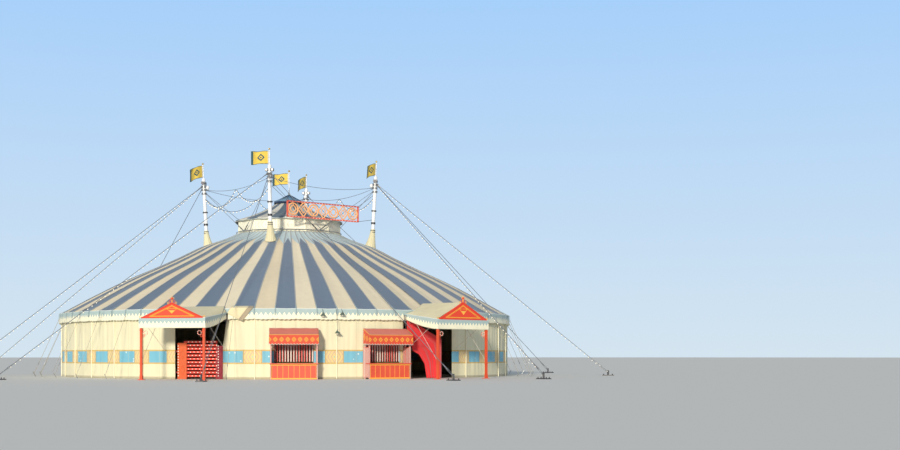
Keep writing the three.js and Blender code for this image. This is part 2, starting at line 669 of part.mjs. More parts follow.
for (const [name, { azimuth, gableRise, frontRidge, ridgeEnd }] of Object.entries(PORCHES)) {
  const porch = bay(azimuth);
  const envelope = tentEnvelope(azimuth);
  const half = PORCH_WIDTH / 2;
  const post = 0.14;
  const postY = gableFace + 0.02;
  const postX = half - 0.1;
  const beam = 0.1;
  const railY = gableFace + 0.1;
  const parts = [];
  for (const side of [-1, 1]) {
    const x0 = side * postX - post / 2;
    parts.push(block([x0, postY, 0], [x0 + post, postY + post, GABLE_EAVE_Z]));
    parts.push(block([x0 - 0.12, gableFace - 0.05, 0], [x0 + post + 0.12, gableFace + 0.3, 0.04]));
    const rail = prismAcross([
      [railY, porchEdge(railY) - beam], [porchBack, porchBackZ - beam],
      [porchBack, porchBackZ - SEAT], [railY, porchEdge(railY) - SEAT],
    ], post);
    parts.push(rail.translate([side * postX, 0, 0]).subtract(envelope));
  }
  parts.push(block([-postX, postY + 0.01, GABLE_EAVE_Z - beam], [postX, postY + 0.11, GABLE_EAVE_Z]));
  place(`${name}_frame`, join(...parts), finish.postRed, porch);

  const gable = panel([
    [-half, gableFoot], [half, gableFoot], [0, gableFoot + gableRise],
  ], gableFace, gableFace + gableBoard);
  const apex = (rise) => new THREE.Vector3(0, gableFace + gableBoard / 2, gableFoot + gableRise + rise);
  const finial = join(
    bar(apex(-0.1), apex(0.2), 0.03),
    solid(new THREE.IcosahedronGeometry(0.08, 1).translate(...apex(0.24).toArray())),
  );
  place(`${name}_gable`, join(gable, finial), finish.gableRed, porch);

  const skin = 0.05;
  const ridgeFront = [0, canopyFace, frontRidge];
  const ridgeBack = [0, ...ridgeEnd];
  const slopes = [-1, 1].map((side) => {
    const front = [side * half, canopyFace, gableFoot];
    const back = [side * half, porchBack, porchBackZ];
    return join(slab([front, ridgeFront, ridgeBack], skin), slab([front, back, ridgeBack], skin));
  });
  place(`${name}_canopy`, join(...slopes).subtract(envelope), finish.creamCanvas, porch);

  const strip = 0.03;
  const skirtDrop = 0.62;
  const skirtFront = postY - SEAT - strip;
  const sideX = postX + post / 2 + SEAT;
  const hem = GABLE_EAVE_Z - skirtDrop;
  const backHem = 4.1;
  const outline = [[skirtFront, porchEdge(skirtFront) - SEAT]];
  for (let i = 0; i <= 6; i++) {
    const t = i / 6;
    outline.push([skirtFront + (porchBack - skirtFront) * t, hem + (backHem - hem) * t ** 1.6]);
  }
  outline.push([porchBack, porchBackZ - SEAT]);
  const skirt = [
    block([-sideX - strip, skirtFront, hem], [sideX + strip, skirtFront + strip, GABLE_EAVE_Z]),
  ];
  for (const side of [-1, 1]) {
    const flank = prismAcross(outline, strip).translate([side * (sideX + strip / 2), 0, 0]);
    skirt.push(flank.subtract(envelope));
  }
  place(`${name}_valance`, join(...skirt), finish.lightCanvas, porch);
}

// Entrance barrier: red slats on three uprights, with a board at each side, closes the lower
// doorway. A strut at each side carries a batten that bears on the wall's inner face.

{
  const entrance = bay(ENTRANCE_AZIMUTH);
  const face = -16.95;
  const slats = { count: 11, pitch: 0.226, foot: 0.15, height: 0.13, from: -0.98, to: 1.42 };
  const top = slats.foot + slats.pitch * (slats.count - 1) + slats.height;
  const parts = [];
  for (let i = 0; i < slats.count; i++) {
    const z = slats.foot + slats.pitch * i;
    parts.push(block([slats.from, face, z], [slats.to, face + 0.04, z + slats.height]));
  }
  for (const x of [-0.9, 0.22, 1.34]) {
    parts.push(block([x - 0.04, face + 0.03, 0], [x + 0.04, face + 0.11, top]));
    parts.push(block([x - 0.04, face + 0.1, 0], [x + 0.04, face + 0.7, 0.06]));
  }
  parts.push(block([-1.41, face - 0.05, 0], [-0.76, face + 0.01, 2.41]));
  parts.push(block([1.38, face - 0.05, 0], [1.85, face + 0.01, 2.21]));

  const wallInside = turned([
    [0.01, -1], [WALL_RADIUS - WALL_THICKNESS - SEAT, -1],
    [WALL_RADIUS - WALL_THICKNESS - SEAT, 5], [0.01, 5],
  ], FACETS, FACET_PHASE - ENTRANCE_AZIMUTH);
  for (const [inner, outer, tip] of [[-1.4, -1.66, -1.76], [1.84, 2.06, 2.16]]) {
    const [batten0, batten1] = [outer, tip].sort((a, b) => a - b);
    const [strut0, strut1] = [inner, tip].sort((a, b) => a - b);
    parts.push(block([batten0, -17.2, 0], [batten1, face + 0.05, 2.2]).intersect(wallInside));
    for (const z of [0.4, 1.8]) {
      parts.push(block([strut0, face - 0.04, z], [strut1, face + 0.02, z + 0.1]));
    }
  }
  place('entrance_barrier', join(...parts), finish.curtainRed, entrance);
}

// Booths: counter in a framed stall with striped cheeks, under a sloping awning.
// The cheeks run back to the side wall.

for (const [name, azimuth] of Object.entries(BOOTHS)) {
  const wallOutside = turned([
    [0.01, -1], [WALL_RADIUS + SEAT, -1], [WALL_RADIUS + SEAT, 5], [0.01, 5],
  ], FACETS, FACET_PHASE - azimuth);
  const stall = bay(azimuth);
  const half = BOOTH_WIDTH / 2;
  const back = -17.5;
  const front = -18.25;
  const post = 0.08;
  const awningBack = 3.38;
  const awningFront = 2.95;
  const fasciaDrop = 0.69;
  const awningNose = -18.5;
  const skin = 0.05;
  const hemInner = awningNose + 0.04;
  const fall = (awningBack - awningFront) / (back - hemInner);
  const underAt = (y) => awningFront - skin + (y - hemInner) * fall;
  const parts = [];
  for (const side of [-1, 1]) {
    const x = side * (half - 0.1);
    parts.push(block([x - post / 2, front, 0], [x + post / 2, front + post, underAt(front) - SEAT]));
    parts.push(block([x - post / 2, back - post, 0],
      [x + post / 2, back, underAt(back - post) - SEAT]));
    const cheek = block([x - 0.015, front + 0.02, 0.1], [x + 0.015, back + 0.5, 2.1]);
    parts.push(cheek.subtract(wallOutside));
  }
  parts.push(block([-half + 0.1, front, 0], [half - 0.1, front + 0.06, 1.0]));
  parts.push(block([-half + 0.02, front - 0.12, 1.0], [half - 0.02, front + 0.45, 1.06]));
  place(`booth_stall_${name}`, join(...parts), finish.awningRed, stall);

  const outline = [
    [awningNose, awningFront - fasciaDrop], [hemInner, awningFront - fasciaDrop],
    [hemInner, awningFront - skin], [back, awningBack - skin],
    [back, awningBack], [awningNose, awningFront],
  ];
  place(`booth_awning_${name}`, prismAcross(outline, BOOTH_WIDTH), finish.awningRed, stall);
}

// Curtain of the side entrance, drawn to the left and held on a bracket from the eave pole

{
  const porch = bay(SIDE_ENTRANCE_AZIMUTH);
  const curtainFace = -17.52;
  const curtain = panel([
    [-2.2, 4], [-2.2, 3.4], [-1.7, 1.9], [-1.15, 1.65], [-0.65, 1], [-0.45, 0],
    [0.9, 0], [0.9, 2.7], [-1.9, 4],
  ], curtainFace, curtainFace + 0.05);
  const poleFoot = polar(poleLine, CURTAIN_POLE, 0);
  const pole = bar(poleFoot, poleFoot.clone().setZ(4), POLE_RADIUS + SEAT)
    .rotate([0, 0, -SIDE_ENTRANCE_AZIMUTH]);
  const hook = polar(poleLine, CURTAIN_POLE - SIDE_ENTRANCE_AZIMUTH, 3.82);
  const bracket = block([hook.x - 0.03, curtainFace + 0.02, 3.8], [hook.x + 0.03, hook.y, 3.86])
    .subtract(pole);
  place('side_curtain', join(curtain, bracket), finish.curtainRed, porch);
}

export default tent;
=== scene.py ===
import math

import bmesh
import bpy
from mathutils import Matrix, Vector, noise


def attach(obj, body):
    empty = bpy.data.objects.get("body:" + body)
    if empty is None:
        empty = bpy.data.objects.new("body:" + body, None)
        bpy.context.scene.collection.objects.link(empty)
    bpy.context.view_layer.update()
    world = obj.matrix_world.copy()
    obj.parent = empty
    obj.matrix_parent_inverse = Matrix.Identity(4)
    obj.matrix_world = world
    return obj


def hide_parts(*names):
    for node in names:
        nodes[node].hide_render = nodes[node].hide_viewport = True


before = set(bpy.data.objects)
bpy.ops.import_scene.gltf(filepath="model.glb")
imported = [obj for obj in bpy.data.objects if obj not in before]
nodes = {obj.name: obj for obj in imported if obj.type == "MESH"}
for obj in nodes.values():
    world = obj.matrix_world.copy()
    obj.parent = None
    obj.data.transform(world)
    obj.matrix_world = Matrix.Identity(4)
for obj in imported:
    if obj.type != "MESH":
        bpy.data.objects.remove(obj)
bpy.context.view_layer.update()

# Camera. The tent stands at half size: lengths here are the real tent's in metres,
# and HALF brings them to the model. The view is a long one at eye height, 27 degrees
# to the right of the main entrance.
HALF = 0.5
VIEW_AZIMUTH = 27
VIEW_DISTANCE = 103
TENT_LEFT_OF_MIDDLE = 7.11
EYE_HEIGHT = 1.6


def polar(radius, azimuth, height=0.0):
    turn = math.radians(azimuth)
    return Vector((radius * math.sin(turn), -radius * math.cos(turn), height))


lens = bpy.data.cameras.new("view")
lens.sensor_width = 36
lens.lens = 51.6
lens.shift_y = 0.1445
lens.clip_end = 1000
camera = bpy.data.objects.new("view", lens)
camera.location = HALF * polar(VIEW_DISTANCE, VIEW_AZIMUTH, EYE_HEIGHT)
camera.rotation_euler = (math.radians(90), 0, math.radians(VIEW_AZIMUTH - TENT_LEFT_OF_MIDDLE))
bpy.context.scene.collection.objects.link(camera)
bpy.context.scene.camera = camera


# Stage. A pale level floor, a plain pale sky and one broad low sun from a little to the
# left of the view, as late daylight falls on the front of the tent.
SUN_HEIGHT = 15
SUN_LEFT_OF_VIEW = 18
FLOOR_RADIUS = 400


def material(name):
    made = bpy.data.materials.new(name)
    made.use_nodes = True
    return made, made.node_tree, made.node_tree.nodes["Principled BSDF"]


ground = bmesh.new()
bmesh.ops.create_circle(ground, cap_ends=True, segments=64, radius=FLOOR_RADIUS)
floor_mesh = bpy.data.meshes.new("floor")
ground.to_mesh(floor_mesh)
ground.free()
floor = bpy.data.objects.new("floor", floor_mesh)
pale, _, pale_paint = material("floor_paint")
pale_paint.inputs["Base Color"].default_value = (0.76, 0.74, 0.69, 1)
pale_paint.inputs["Roughness"].default_value = 0.9
floor_mesh.materials.append(pale)
bpy.context.scene.collection.objects.link(floor)


def link(tree, start, end):
    tree.links.new(start.socket if isinstance(start, Value) else start, end)


class Value:
    """A number worked out by Math nodes, so that sums of them are written as sums."""

    def __init__(self, tree, socket):
        self.tree, self.socket = tree, socket

    def math(self, operation, *others):
        made = self.tree.nodes.new("ShaderNodeMath")
        made.operation = operation
        for socket, term in zip(made.inputs, (self, *others)):
            if isinstance(term, (int, float)):
                socket.default_value = term
            else:
                link(self.tree, term, socket)
        return Value(self.tree, made.outputs[0])

    def __add__(self, other):
        return self.math("ADD", other)

    def __sub__(self, other):
        return self.math("SUBTRACT", other)

    def __mul__(self, other):
        return self.math("MULTIPLY", other)

    def __lt__(self, other):
        return self.math("LESS_THAN", other)

    def __gt__(self, other):
        return self.math("GREATER_THAN", other)

    def __or__(self, other):
        return self.math("MAXIMUM", other)

    def __abs__(self):
        return self.math("ABSOLUTE")

    def fraction(self):
        return self.math("FRACT")


def mixed(tree, share, low, high):
    """One colour laid over another; each is a socket or four numbers."""
    made = tree.nodes.new("ShaderNodeMix")
    made.data_type = "RGBA"
    for socket, term in ((made.inputs[0], share), (made.inputs[6], low), (made.inputs[7], high)):
        if isinstance(term, (int, float, tuple)):
            socket.default_value = term
        else:
            link(tree, term, socket)
    return made.outputs[2]


def place_of(tree, source="Object"):
    """The three coordinates of a point on the piece, or of its own map."""
    found = tree.nodes.new("ShaderNodeTexCoord")
    parts = tree.nodes.new("ShaderNodeSeparateXYZ")
    link(tree, found.outputs[source], parts.inputs[0])
    return found.outputs[source], [Value(tree, part) for part in parts.outputs]


sky = bpy.data.worlds.new("sky")
sky.use_nodes = True
sky_tree = sky.node_tree
fill = sky_tree.nodes["Background"]
fill.inputs["Color"].default_value = (0.62, 0.75, 0.92, 1)
fill.inputs["Strength"].default_value = 0.5
shown = sky_tree.nodes.new("ShaderNodeBackground")
_, (_, _, rise) = place_of(sky_tree, "Generated")
link(sky_tree, mixed(sky_tree, rise * 3.6, (0.66, 0.78, 0.87, 1), (0.37, 0.62, 0.96, 1)),
     shown.inputs["Color"])
either = sky_tree.nodes.new("ShaderNodeMixShader")
seen = sky_tree.nodes.new("ShaderNodeLightPath")
link(sky_tree, seen.outputs["Is Camera Ray"], either.inputs[0])
link(sky_tree, fill.outputs[0], either.inputs[1])
link(sky_tree, shown.outputs[0], either.inputs[2])
link(sky_tree, either.outputs[0], sky_tree.nodes["World Output"].inputs["Surface"])
bpy.context.scene.world = sky
bpy.context.scene.view_settings.view_transform = "Standard"

daylight = bpy.data.lights.new("daylight", "SUN")
daylight.energy = 3.3
daylight.angle = math.radians(6)
daylight.color = (1.0, 0.91, 0.76)
sun = bpy.data.objects.new("daylight", daylight)
sun.rotation_euler = (math.radians(90 - SUN_HEIGHT), 0, math.radians(VIEW_AZIMUTH - SUN_LEFT_OF_VIEW))
bpy.context.scene.collection.objects.link(sun)


# Lamp strings. Three garlands hang in two swags each between the mast heads, caught
# up halfway at the head rope. Black cable with a lamp every third of a metre.
MAST_AZIMUTHS = {"front": 15, "right": 105, "back": 195, "left": 285}
MAST_FOOT_R = 6.1
MAST_HEAD_R = 6.9
MAST_HEAD_Z = 15.35
MAST_RADIUS = 0.14
GARLAND_Z = 14.1
GARLAND_CLIP_Z = 14.2832
GARLAND_DROP = 1.0
GARLAND_RADIUS = 0.016
GARLAND_POINTS = 17
LAMP_SPACING = 0.34
UP = Vector((0, 0, 1))


def mast_point(side, height):
    reach = MAST_FOOT_R + (MAST_HEAD_R - MAST_FOOT_R) * height / MAST_HEAD_Z
    return polar(reach, MAST_AZIMUTHS[side], height)


def next_side(side):
    order = list(MAST_AZIMUTHS)
    return order[(order.index(side) + 1) % len(order)]


def garland_route(side):
    here = mast_point(side, GARLAND_Z)
    there = mast_point(next_side(side), GARLAND_Z)
    inset = (MAST_RADIUS + 0.0008) / (there - here).length
    route = []
    for i in range(GARLAND_POINTS):
        share = inset + (1 - 2 * inset) * i / (GARLAND_POINTS - 1)
        swag = 2 * share if share < 0.5 else 2 - 2 * share
        point = here.lerp(there, share)
        point.z += (GARLAND_CLIP_Z - GARLAND_Z) * swag - GARLAND_DROP * 4 * swag * (1 - swag)
        route.append(point)
    return route


def smooth_route(points, steps):
    """The points again, with steps to each stretch, on one smooth curve through them."""
    ends = [2 * points[0] - points[1], *points, 2 * points[-1] - points[-2]]
    route = []
    for a, b, c, d in zip(ends, ends[1:], ends[2:], ends[3:]):
        for i in range(steps):
            t = i / steps
            route.append(0.5 * (2 * b + (c - a) * t + (2 * a - 5 * b + 4 * c - d) * t * t
                                + (3 * b - a - 3 * c + d) * t ** 3))
    return [*route, points[-1]]


def along_route(route, spacing, lead=0.2):
    """Points a spacing apart along a route, from a short lead after its start."""
    places, due = [], lead
    for low, high in zip(route, route[1:]):
        run = (high - low).length
        while due <= run:
            places.append(low.lerp(high, due / run))
            due += spacing
        due -= run
    return places


def cloud(tree, where, scale, detail=4.0, stretch=(1, 1, 1)):
    """Soft noise from 0 to 1, stretched along an axis where stretch is under 1."""
    fit = tree.nodes.new("ShaderNodeMapping")
    fit.inputs["Scale"].default_value = stretch
    made = tree.nodes.new("ShaderNodeTexNoise")
    made.inputs["Scale"].default_value = scale
    made.inputs["Detail"].default_value = detail
    link(tree, where, fit.inputs["Vector"])
    link(tree, fit.outputs["Vector"], made.inputs["Vector"])
    return Value(tree, made.outputs["Fac"])


def spread(tree, value, low, high, start=0.0, end=1.0):
    """A value that runs from start to end, brought to between low and high."""
    made = tree.nodes.new("ShaderNodeMapRange")
    for name, number in (("From Min", start), ("From Max", end), ("To Min", low), ("To Max", high)):
        made.inputs[name].default_value = number
    link(tree, value, made.inputs["Value"])
    return Value(tree, made.outputs["Result"])


def toned(tree, paint, colour, tone):
    """Paints a colour, four numbers or a socket, lighter or darker by its tone."""
    made = tree.nodes.new("ShaderNodeVectorMath")
    made.operation = "SCALE"
    if isinstance(colour, tuple):
        made.inputs[0].default_value = colour
    else:
        link(tree, colour, made.inputs[0])
    link(tree, tone, made.inputs["Scale"])
    link(tree, made.outputs[0], paint.inputs["Base Color"])


def roughen(tree, paint, height, strength, distance):
    made = tree.nodes.new("ShaderNodeBump")
    made.inputs["Strength"].default_value = strength
    made.inputs["Distance"].default_value = distance
    link(tree, height, made.inputs["Height"])
    link(tree, made.outputs["Normal"], paint.inputs["Normal"])


def enamel(name, colour, roughness=0.38, wear=0.12, metal=0.0):
    """Brushed-on paint: a slow change of tone, dull patches and a little brush grain."""
    made, tree, paint = material(name)
    where, _ = place_of(tree)
    toned(tree, paint, colour, spread(tree, cloud(tree, where, 1.3), 1 - wear, 1 + wear * 0.4))
    dull = spread(tree, cloud(tree, where, 9.0), roughness - 0.08, roughness + 0.14)
    link(tree, dull, paint.inputs["Roughness"])
    paint.inputs["Metallic"].default_value = metal
    roughen(tree, paint, cloud(tree, where, 60.0, 2.0, (1, 1, 0.12)), 0.25, 0.002)
    return made


cable_rubber = enamel("cable_rubber", (0.035, 0.035, 0.04), 0.6)
lamp_glass, lamp_tree, lamp_paint = material("lamp_glass")
lamp_paint.inputs["Roughness"].default_value = 0.12
lamp_paint.inputs["Emission Strength"].default_value = 0.35
lamp_paint.inputs["Emission Color"].default_value = (1.0, 0.9, 0.7, 1)
lamp_where, _ = place_of(lamp_tree)
link(lamp_tree, mixed(lamp_tree, cloud(lamp_tree, lamp_where, 30.0),
                      (0.95, 0.88, 0.70, 1), (1.0, 0.98, 0.93, 1)),
     lamp_paint.inputs["Base Color"])


def coat(faces, skin, smooth=True):
    for face in faces:
        face.material_index = skin
        face.smooth = smooth


def faces_of(made):
    return {face for vert in made["verts"] for face in vert.link_faces}


def rod(shape, low, high, radius, top=None, sides=12, skin=0):
    """Round bar between two points."""
    run = high - low
    lay = Matrix.Translation((low + high) / 2) @ run.to_track_quat("Z", "Y").to_matrix().to_4x4()
    made = bmesh.ops.create_cone(shape, cap_ends=True, segments=sides, radius1=radius,
                                 radius2=radius if top is None else top,
                                 depth=run.length, matrix=lay)
    coat(faces_of(made), skin)


def ball(shape, centre, radius, skin=0, sides=12, squash=1.0):
    lay = Matrix.Translation(centre) @ Matrix.Diagonal((1, 1, squash, 1))
    made = bmesh.ops.create_uvsphere(shape, u_segments=sides, v_segments=max(4, sides // 2),
                                     radius=radius, matrix=lay)
    coat(faces_of(made), skin)


def hang(name, data, stands_for=()):
    """Puts a finished mesh or curve on the tent as one piece."""
    piece = bpy.data.objects.new(name, data)
    bpy.context.scene.collection.objects.link(piece)
    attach(piece, "root")
    if stands_for:
        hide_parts(*stands_for)
    return piece


def fit_up(name, shape, skins, azimuth=0.0, stands_for=(), crease=40):
    """Brings a shape from the real tent's sizes to the model and hangs it on the tent.
    Its own -Y is first turned to face out of the tent at the azimuth."""
    shape.transform(Matrix.Rotation(math.radians(azimuth), 4, "Z") @ Matrix.Scale(HALF, 4))
    mesh = bpy.data.meshes.new(name)
    shape.to_mesh(mesh)
    shape.free()
    for skin in skins:
        mesh.materials.append(skin)
    if crease:
        mesh.set_sharp_from_angle(angle=math.radians(crease))
    return hang(name, mesh, stands_for)


def wires(name, routes, radius, skin, stands_for=(), capped=True):
    """Ropes of one size, each along its own route, as one curve piece."""
    lines = bpy.data.curves.new(name, "CURVE")
    lines.dimensions = "3D"
    lines.bevel_depth = radius * HALF
    lines.bevel_resolution = 2
    lines.use_fill_caps = capped
    for route in routes:
        line = lines.splines.new("POLY")
        line.points.add(len(route) - 1)
        for place, point in zip(line.points, route):
            place.co = (*(point * HALF), 1)
    lines.materials.append(skin)
    return hang(name, lines, stands_for)


def bulb(shape, at, size):
    """A lamp that hangs from its cable: a short black socket and a round glass."""
    rod(shape, at, at - UP * (0.9 * size), 0.45 * size, sides=6, skin=1)
    ball(shape, at - UP * (1.7 * size), size, 0, 6, 1.15)


for side in ("right", "back", "left"):
    route = smooth_route(garland_route(side), 8)
    cable = wires(f"garland_cable_{side}", [route], GARLAND_RADIUS, cable_rubber,
                  [f"garland_{side}"], False)
    shape = bmesh.new()
    for at in along_route(route, LAMP_SPACING):
        bulb(shape, at, 0.045)
    lamps = fit_up(f"garland_lamps_{side}", shape, [lamp_glass, cable_rubber])
    run = sum((b - a).length for a, b in zip(route, route[1:]))
    route[0] * HALF
    run * HALF


# Masts. Four white-painted steel tubes that lean a little outward. Each stands on a
# square plate, has clamp collars, a crosshead with two sheaves, and a flag staff.
STAFF_TOP_Z = 16.8
STAFF_RADIUS = 0.035
COLLARS = ((12.9, 0.2, 0.09), (11.9, 0.17, 0.16))
CROSSHEAD = (0.62, 0.26, 0.2)
WELD_HEIGHTS = (3.1, 6.2, 9.2, 12.2)
white_enamel = enamel("white_enamel", (0.90, 0.92, 0.95), 0.32, 0.08)
dark_steel = enamel("dark_steel", (0.10, 0.10, 0.11), 0.45, 0.3, 0.7)
zinc = enamel("zinc", (0.42, 0.43, 0.44), 0.42, 0.25, 0.85)
gilt = enamel("gilt", (0.72, 0.52, 0.16), 0.3, 0.1, 0.8)


def box(shape, low, high, skin=0, turn=0.0):
    """Plain board between two corners, turned about the tent's axis."""
    low, high = Vector(low), Vector(high)
    size = Matrix.Diagonal((*(high - low), 1))
    lay = Matrix.Rotation(math.radians(turn), 4, "Z") @ Matrix.Translation((low + high) / 2)
    made = bmesh.ops.create_cube(shape, size=1, matrix=lay @ size)
    coat(faces_of(made), skin, False)


def bolt_ring(shape, centre, up, reach, count, size, skin):
    """Hexagon bolts on a circle."""
    aside = up.orthogonal().normalized()
    for i in range(count):
        out = Matrix.Rotation(2 * math.pi * i / count, 3, up) @ aside
        rod(shape, centre + out * reach, centre + out * reach + up * size, size * 0.75,
            sides=6, skin=skin)


for side, azimuth in MAST_AZIMUTHS.items():
    shape = bmesh.new()
    up = (mast_point(side, 10) - mast_point(side, 0)).normalized()
    out = polar(1, azimuth)
    across = polar(1, azimuth + 90)
    foot = mast_point(side, 0)
    head = mast_point(side, MAST_HEAD_Z)
    reach = foot.length
    box(shape, (-0.45, -reach - 0.45, 0), (0.45, -reach + 0.45, 0.05), 2, azimuth)
    box(shape, (-0.21, -reach - 0.17, 0.05), (0.21, -reach + 0.17, 0.4), 0, azimuth)
    for a in (-0.35, 0.35):
        for b in (-0.35, 0.35):
            at = foot + out * a + across * b
            rod(shape, at + UP * 0.05, at + UP * 0.1, 0.035, sides=6, skin=1)
    rod(shape, mast_point(side, 0.03), mast_point(side, MAST_HEAD_Z + 0.28), MAST_RADIUS, sides=32)
    ball(shape, mast_point(side, MAST_HEAD_Z + 0.28), MAST_RADIUS, 0, 24, 0.35)
    for height, radius, tall in COLLARS:
        low, high = mast_point(side, height), mast_point(side, height + tall)
        rod(shape, low, high, radius, sides=32, skin=1)
        bolt_ring(shape, high, up, radius - 0.03, 8, 0.02, 2)
    for height in WELD_HEIGHTS:
        rod(shape, mast_point(side, height), mast_point(side, height + 0.05), MAST_RADIUS + 0.008,
            sides=32)
    long, deep, tall = CROSSHEAD
    mid = mast_point(side, MAST_HEAD_Z - 0.06)
    centre = Matrix.Translation(mid) @ Matrix.Rotation(math.radians(azimuth), 4, "Z")
    made = bmesh.ops.create_cube(shape, size=1, matrix=centre @ Matrix.Diagonal((long, deep, tall, 1)))
    coat(faces_of(made), 1, False)
    for end in (-1, 1):
        hub = mid + across * end * (long / 2 - 0.09)
        rod(shape, hub - out * (deep / 2 + 0.02), hub + out * (deep / 2 + 0.02), 0.075, sides=20,
            skin=2)
    rod(shape, mast_point(side, MAST_HEAD_Z + 0.2), mast_point(side, STAFF_TOP_Z), STAFF_RADIUS,
        sides=16)
    ball(shape, mast_point(side, STAFF_TOP_Z + 0.02), 0.075, 3, 20)
    lamp_at = mast_point(side, MAST_HEAD_Z - 0.42) - out * 0.3
    rod(shape, mast_point(side, MAST_HEAD_Z - 0.3), lamp_at + UP * 0.12, 0.025, skin=1)
    ball(shape, lamp_at, 0.14, 0, 20, 1.2)
    fit_up(f"mast_tube_{side}", shape, [white_enamel, dark_steel, zinc, gilt],
           stands_for=[f"mast_{side}"])


# Canvas. Coated cloth, striped or plain, with a faint weave, a matt sheen, and the rain
# marks and soft creases of cloth that is put up and taken down.
def weathered(tree, paint, colour, where, streak=(1, 1, 0.15), soil=0.16, rough=0.62):
    """Finishes a cloth's colour with slow soiling, rain streaks, weave and creases."""
    soiling = spread(tree, cloud(tree, where, 0.55, 5.0), 1 - soil, 1.03)
    streaks = spread(tree, cloud(tree, where, 5.0, 3.0, streak), 1 - soil * 0.7, 1.04)
    toned(tree, paint, colour, soiling * streaks)
    link(tree, spread(tree, cloud(tree, where, 3.0), rough - 0.08, rough + 0.12),
         paint.inputs["Roughness"])
    paint.inputs["Sheen Weight"].default_value = 0.12
    weave = cloud(tree, where, 180.0, 1.0)
    creases = cloud(tree, where, 2.2, 6.0, streak)
    roughen(tree, paint, weave * 0.12 + creases, 0.4, 0.02)


def plain_canvas(name, colour, soil=0.16, rough=0.62):
    made, tree, paint = material(name)
    where, _ = place_of(tree)
    darker = tuple(0.85 * c for c in colour)
    tint = mixed(tree, cloud(tree, where, 1.1), (*darker, 1), (*colour, 1))
    weathered(tree, paint, tint, where, soil=soil, rough=rough)
    return made


# Sleeves. A gathered cloth funnel closes the roof round each mast: lashed under a
# strap at the top, spread over the roof below, wider on the side towards the middle.
SLEEVE_TOP_Z = 11.4
SLEEVE_FOOT_Z = 9.9
SLEEVE_FOLDS = 14
SLEEVE_ROWS = 22
ROOF_PROFILE = ((4.1, 11.07), (4.9, 10.68), (5.8, 10.35), (7.0, 9.92), (8.4, 9.2),
                (10.0, 8.42), (12.65, 7.2), (15.0, 5.98), (17.4, 4.65))


def roof_height(radius):
    """The roof's outer surface, on a smooth line through the profile's points."""
    line = ROOF_PROFILE
    slope = [(b[1] - a[1]) / (b[0] - a[0]) for a, b in zip(line, line[1:])]
    bend = [slope[0], *((a + b) / 2 for a, b in zip(slope, slope[1:])), slope[-1]]
    for i in range(len(slope)):
        if radius <= line[i + 1][0] or i == len(slope) - 1:
            run = line[i + 1][0] - line[i][0]
            t = (radius - line[i][0]) / run
            return ((2 * t ** 3 - 3 * t ** 2 + 1) * line[i][1] + (t ** 3 - 2 * t ** 2 + t) * run * bend[i]
                    + (3 * t ** 2 - 2 * t ** 3) * line[i + 1][1] + (t ** 3 - t ** 2) * run * bend[i + 1])


sleeve_canvas = plain_canvas("sleeve_canvas", (0.90, 0.83, 0.55))
strap_web = enamel("strap_web", (0.09, 0.10, 0.12), 0.8, 0.3)


def sleeve_radius(turn, share):
    """From the neck, share 0, to the skirt on the roof, share 1. The turn starts outward."""
    skirt = 0.42 - 0.12 * math.cos(turn)
    neck = MAST_RADIUS + 0.035
    open_out = neck + (skirt - neck) * (0.35 * share + 0.65 * share ** 2.2)
    return open_out + 0.026 * share * math.cos(SLEEVE_FOLDS * turn) * (1 - 0.5 * share)


for side, azimuth in MAST_AZIMUTHS.items():
    shape = bmesh.new()
    bmesh.ops.create_cone(shape, cap_ends=False, segments=SLEEVE_FOLDS * 8, radius1=1, radius2=1,
                          depth=1)
    uprights = [edge for edge in shape.edges if abs(edge.verts[0].co.z - edge.verts[1].co.z) > 0.5]
    bmesh.ops.subdivide_edges(shape, edges=uprights, cuts=SLEEVE_ROWS - 1, use_grid_fill=True)
    for vert in shape.verts:
        share = 0.5 - vert.co.z
        turn = math.atan2(vert.co.y, vert.co.x)
        sweep = polar(1, azimuth) * math.cos(turn) + polar(1, azimuth + 90) * math.sin(turn)
        foot = (mast_point(side, SLEEVE_FOOT_Z) + sweep * sleeve_radius(turn, 1)).xy
        top_z, foot_z = SLEEVE_TOP_Z + 0.1, roof_height(foot.length) + 0.02
        vert.co = mast_point(side, top_z + (foot_z - top_z) * share) + sweep * sleeve_radius(turn, share)
    coat(shape.faces, 0)
    for height in (SLEEVE_TOP_Z - 0.02, SLEEVE_TOP_Z - 0.16):
        rod(shape, mast_point(side, height), mast_point(side, height + 0.05), MAST_RADIUS + 0.055,
            sides=32, skin=1)
    sleeve = fit_up(f"sleeve_cloth_{side}", shape, [sleeve_canvas, strap_web],
                    stands_for=[f"mast_sleeve_{side}"])


# Roof. Four laced quarters of coated canvas in gores, blue-grey and cream by turns,
# drawn tight from the ring to the eave. The dark gores end in points under a light
# collar, and webbing runs down every seam.
PERIOD = 9.0
GORE = PERIOD / 2
FIRST_SEAM = 1.5
EAVE_R = 17.4
RING_R = 4.1
COLLAR_TIP_R = 5.6
COLLAR_FOOT_R = 7.4
COLUMNS_PER_GORE = 8
ROOF_ROWS = 56
MAST_HOLE_R = 0.27
BELT_WIDTH = 0.07


def roof_share(radius):
    return (radius - RING_R) / (EAVE_R - RING_R)


def mapped(name):
    """A material, where a point lies on the piece, and the two shares of its map there."""
    made, tree, paint = material(name)
    where, _ = place_of(tree)
    _, (across, up, _) = place_of(tree, "UV")
    return made, tree, paint, where, across, up


def thicken(cloth, thickness, offset=0):
    """Gives a sheet its thickness, in the model's metres, on both sides or behind it at -1."""
    wall = cloth.modifiers.new("thickness", "SOLIDIFY")
    wall.thickness = thickness
    wall.offset = offset


def azimuth_of(point):
    return math.degrees(math.atan2(point.x, -point.y))


def azimuth_past(point, start):
    """A point's azimuth, counted up from a degree before the start."""
    return (azimuth_of(point) - start + 1) % 360 - 1 + start


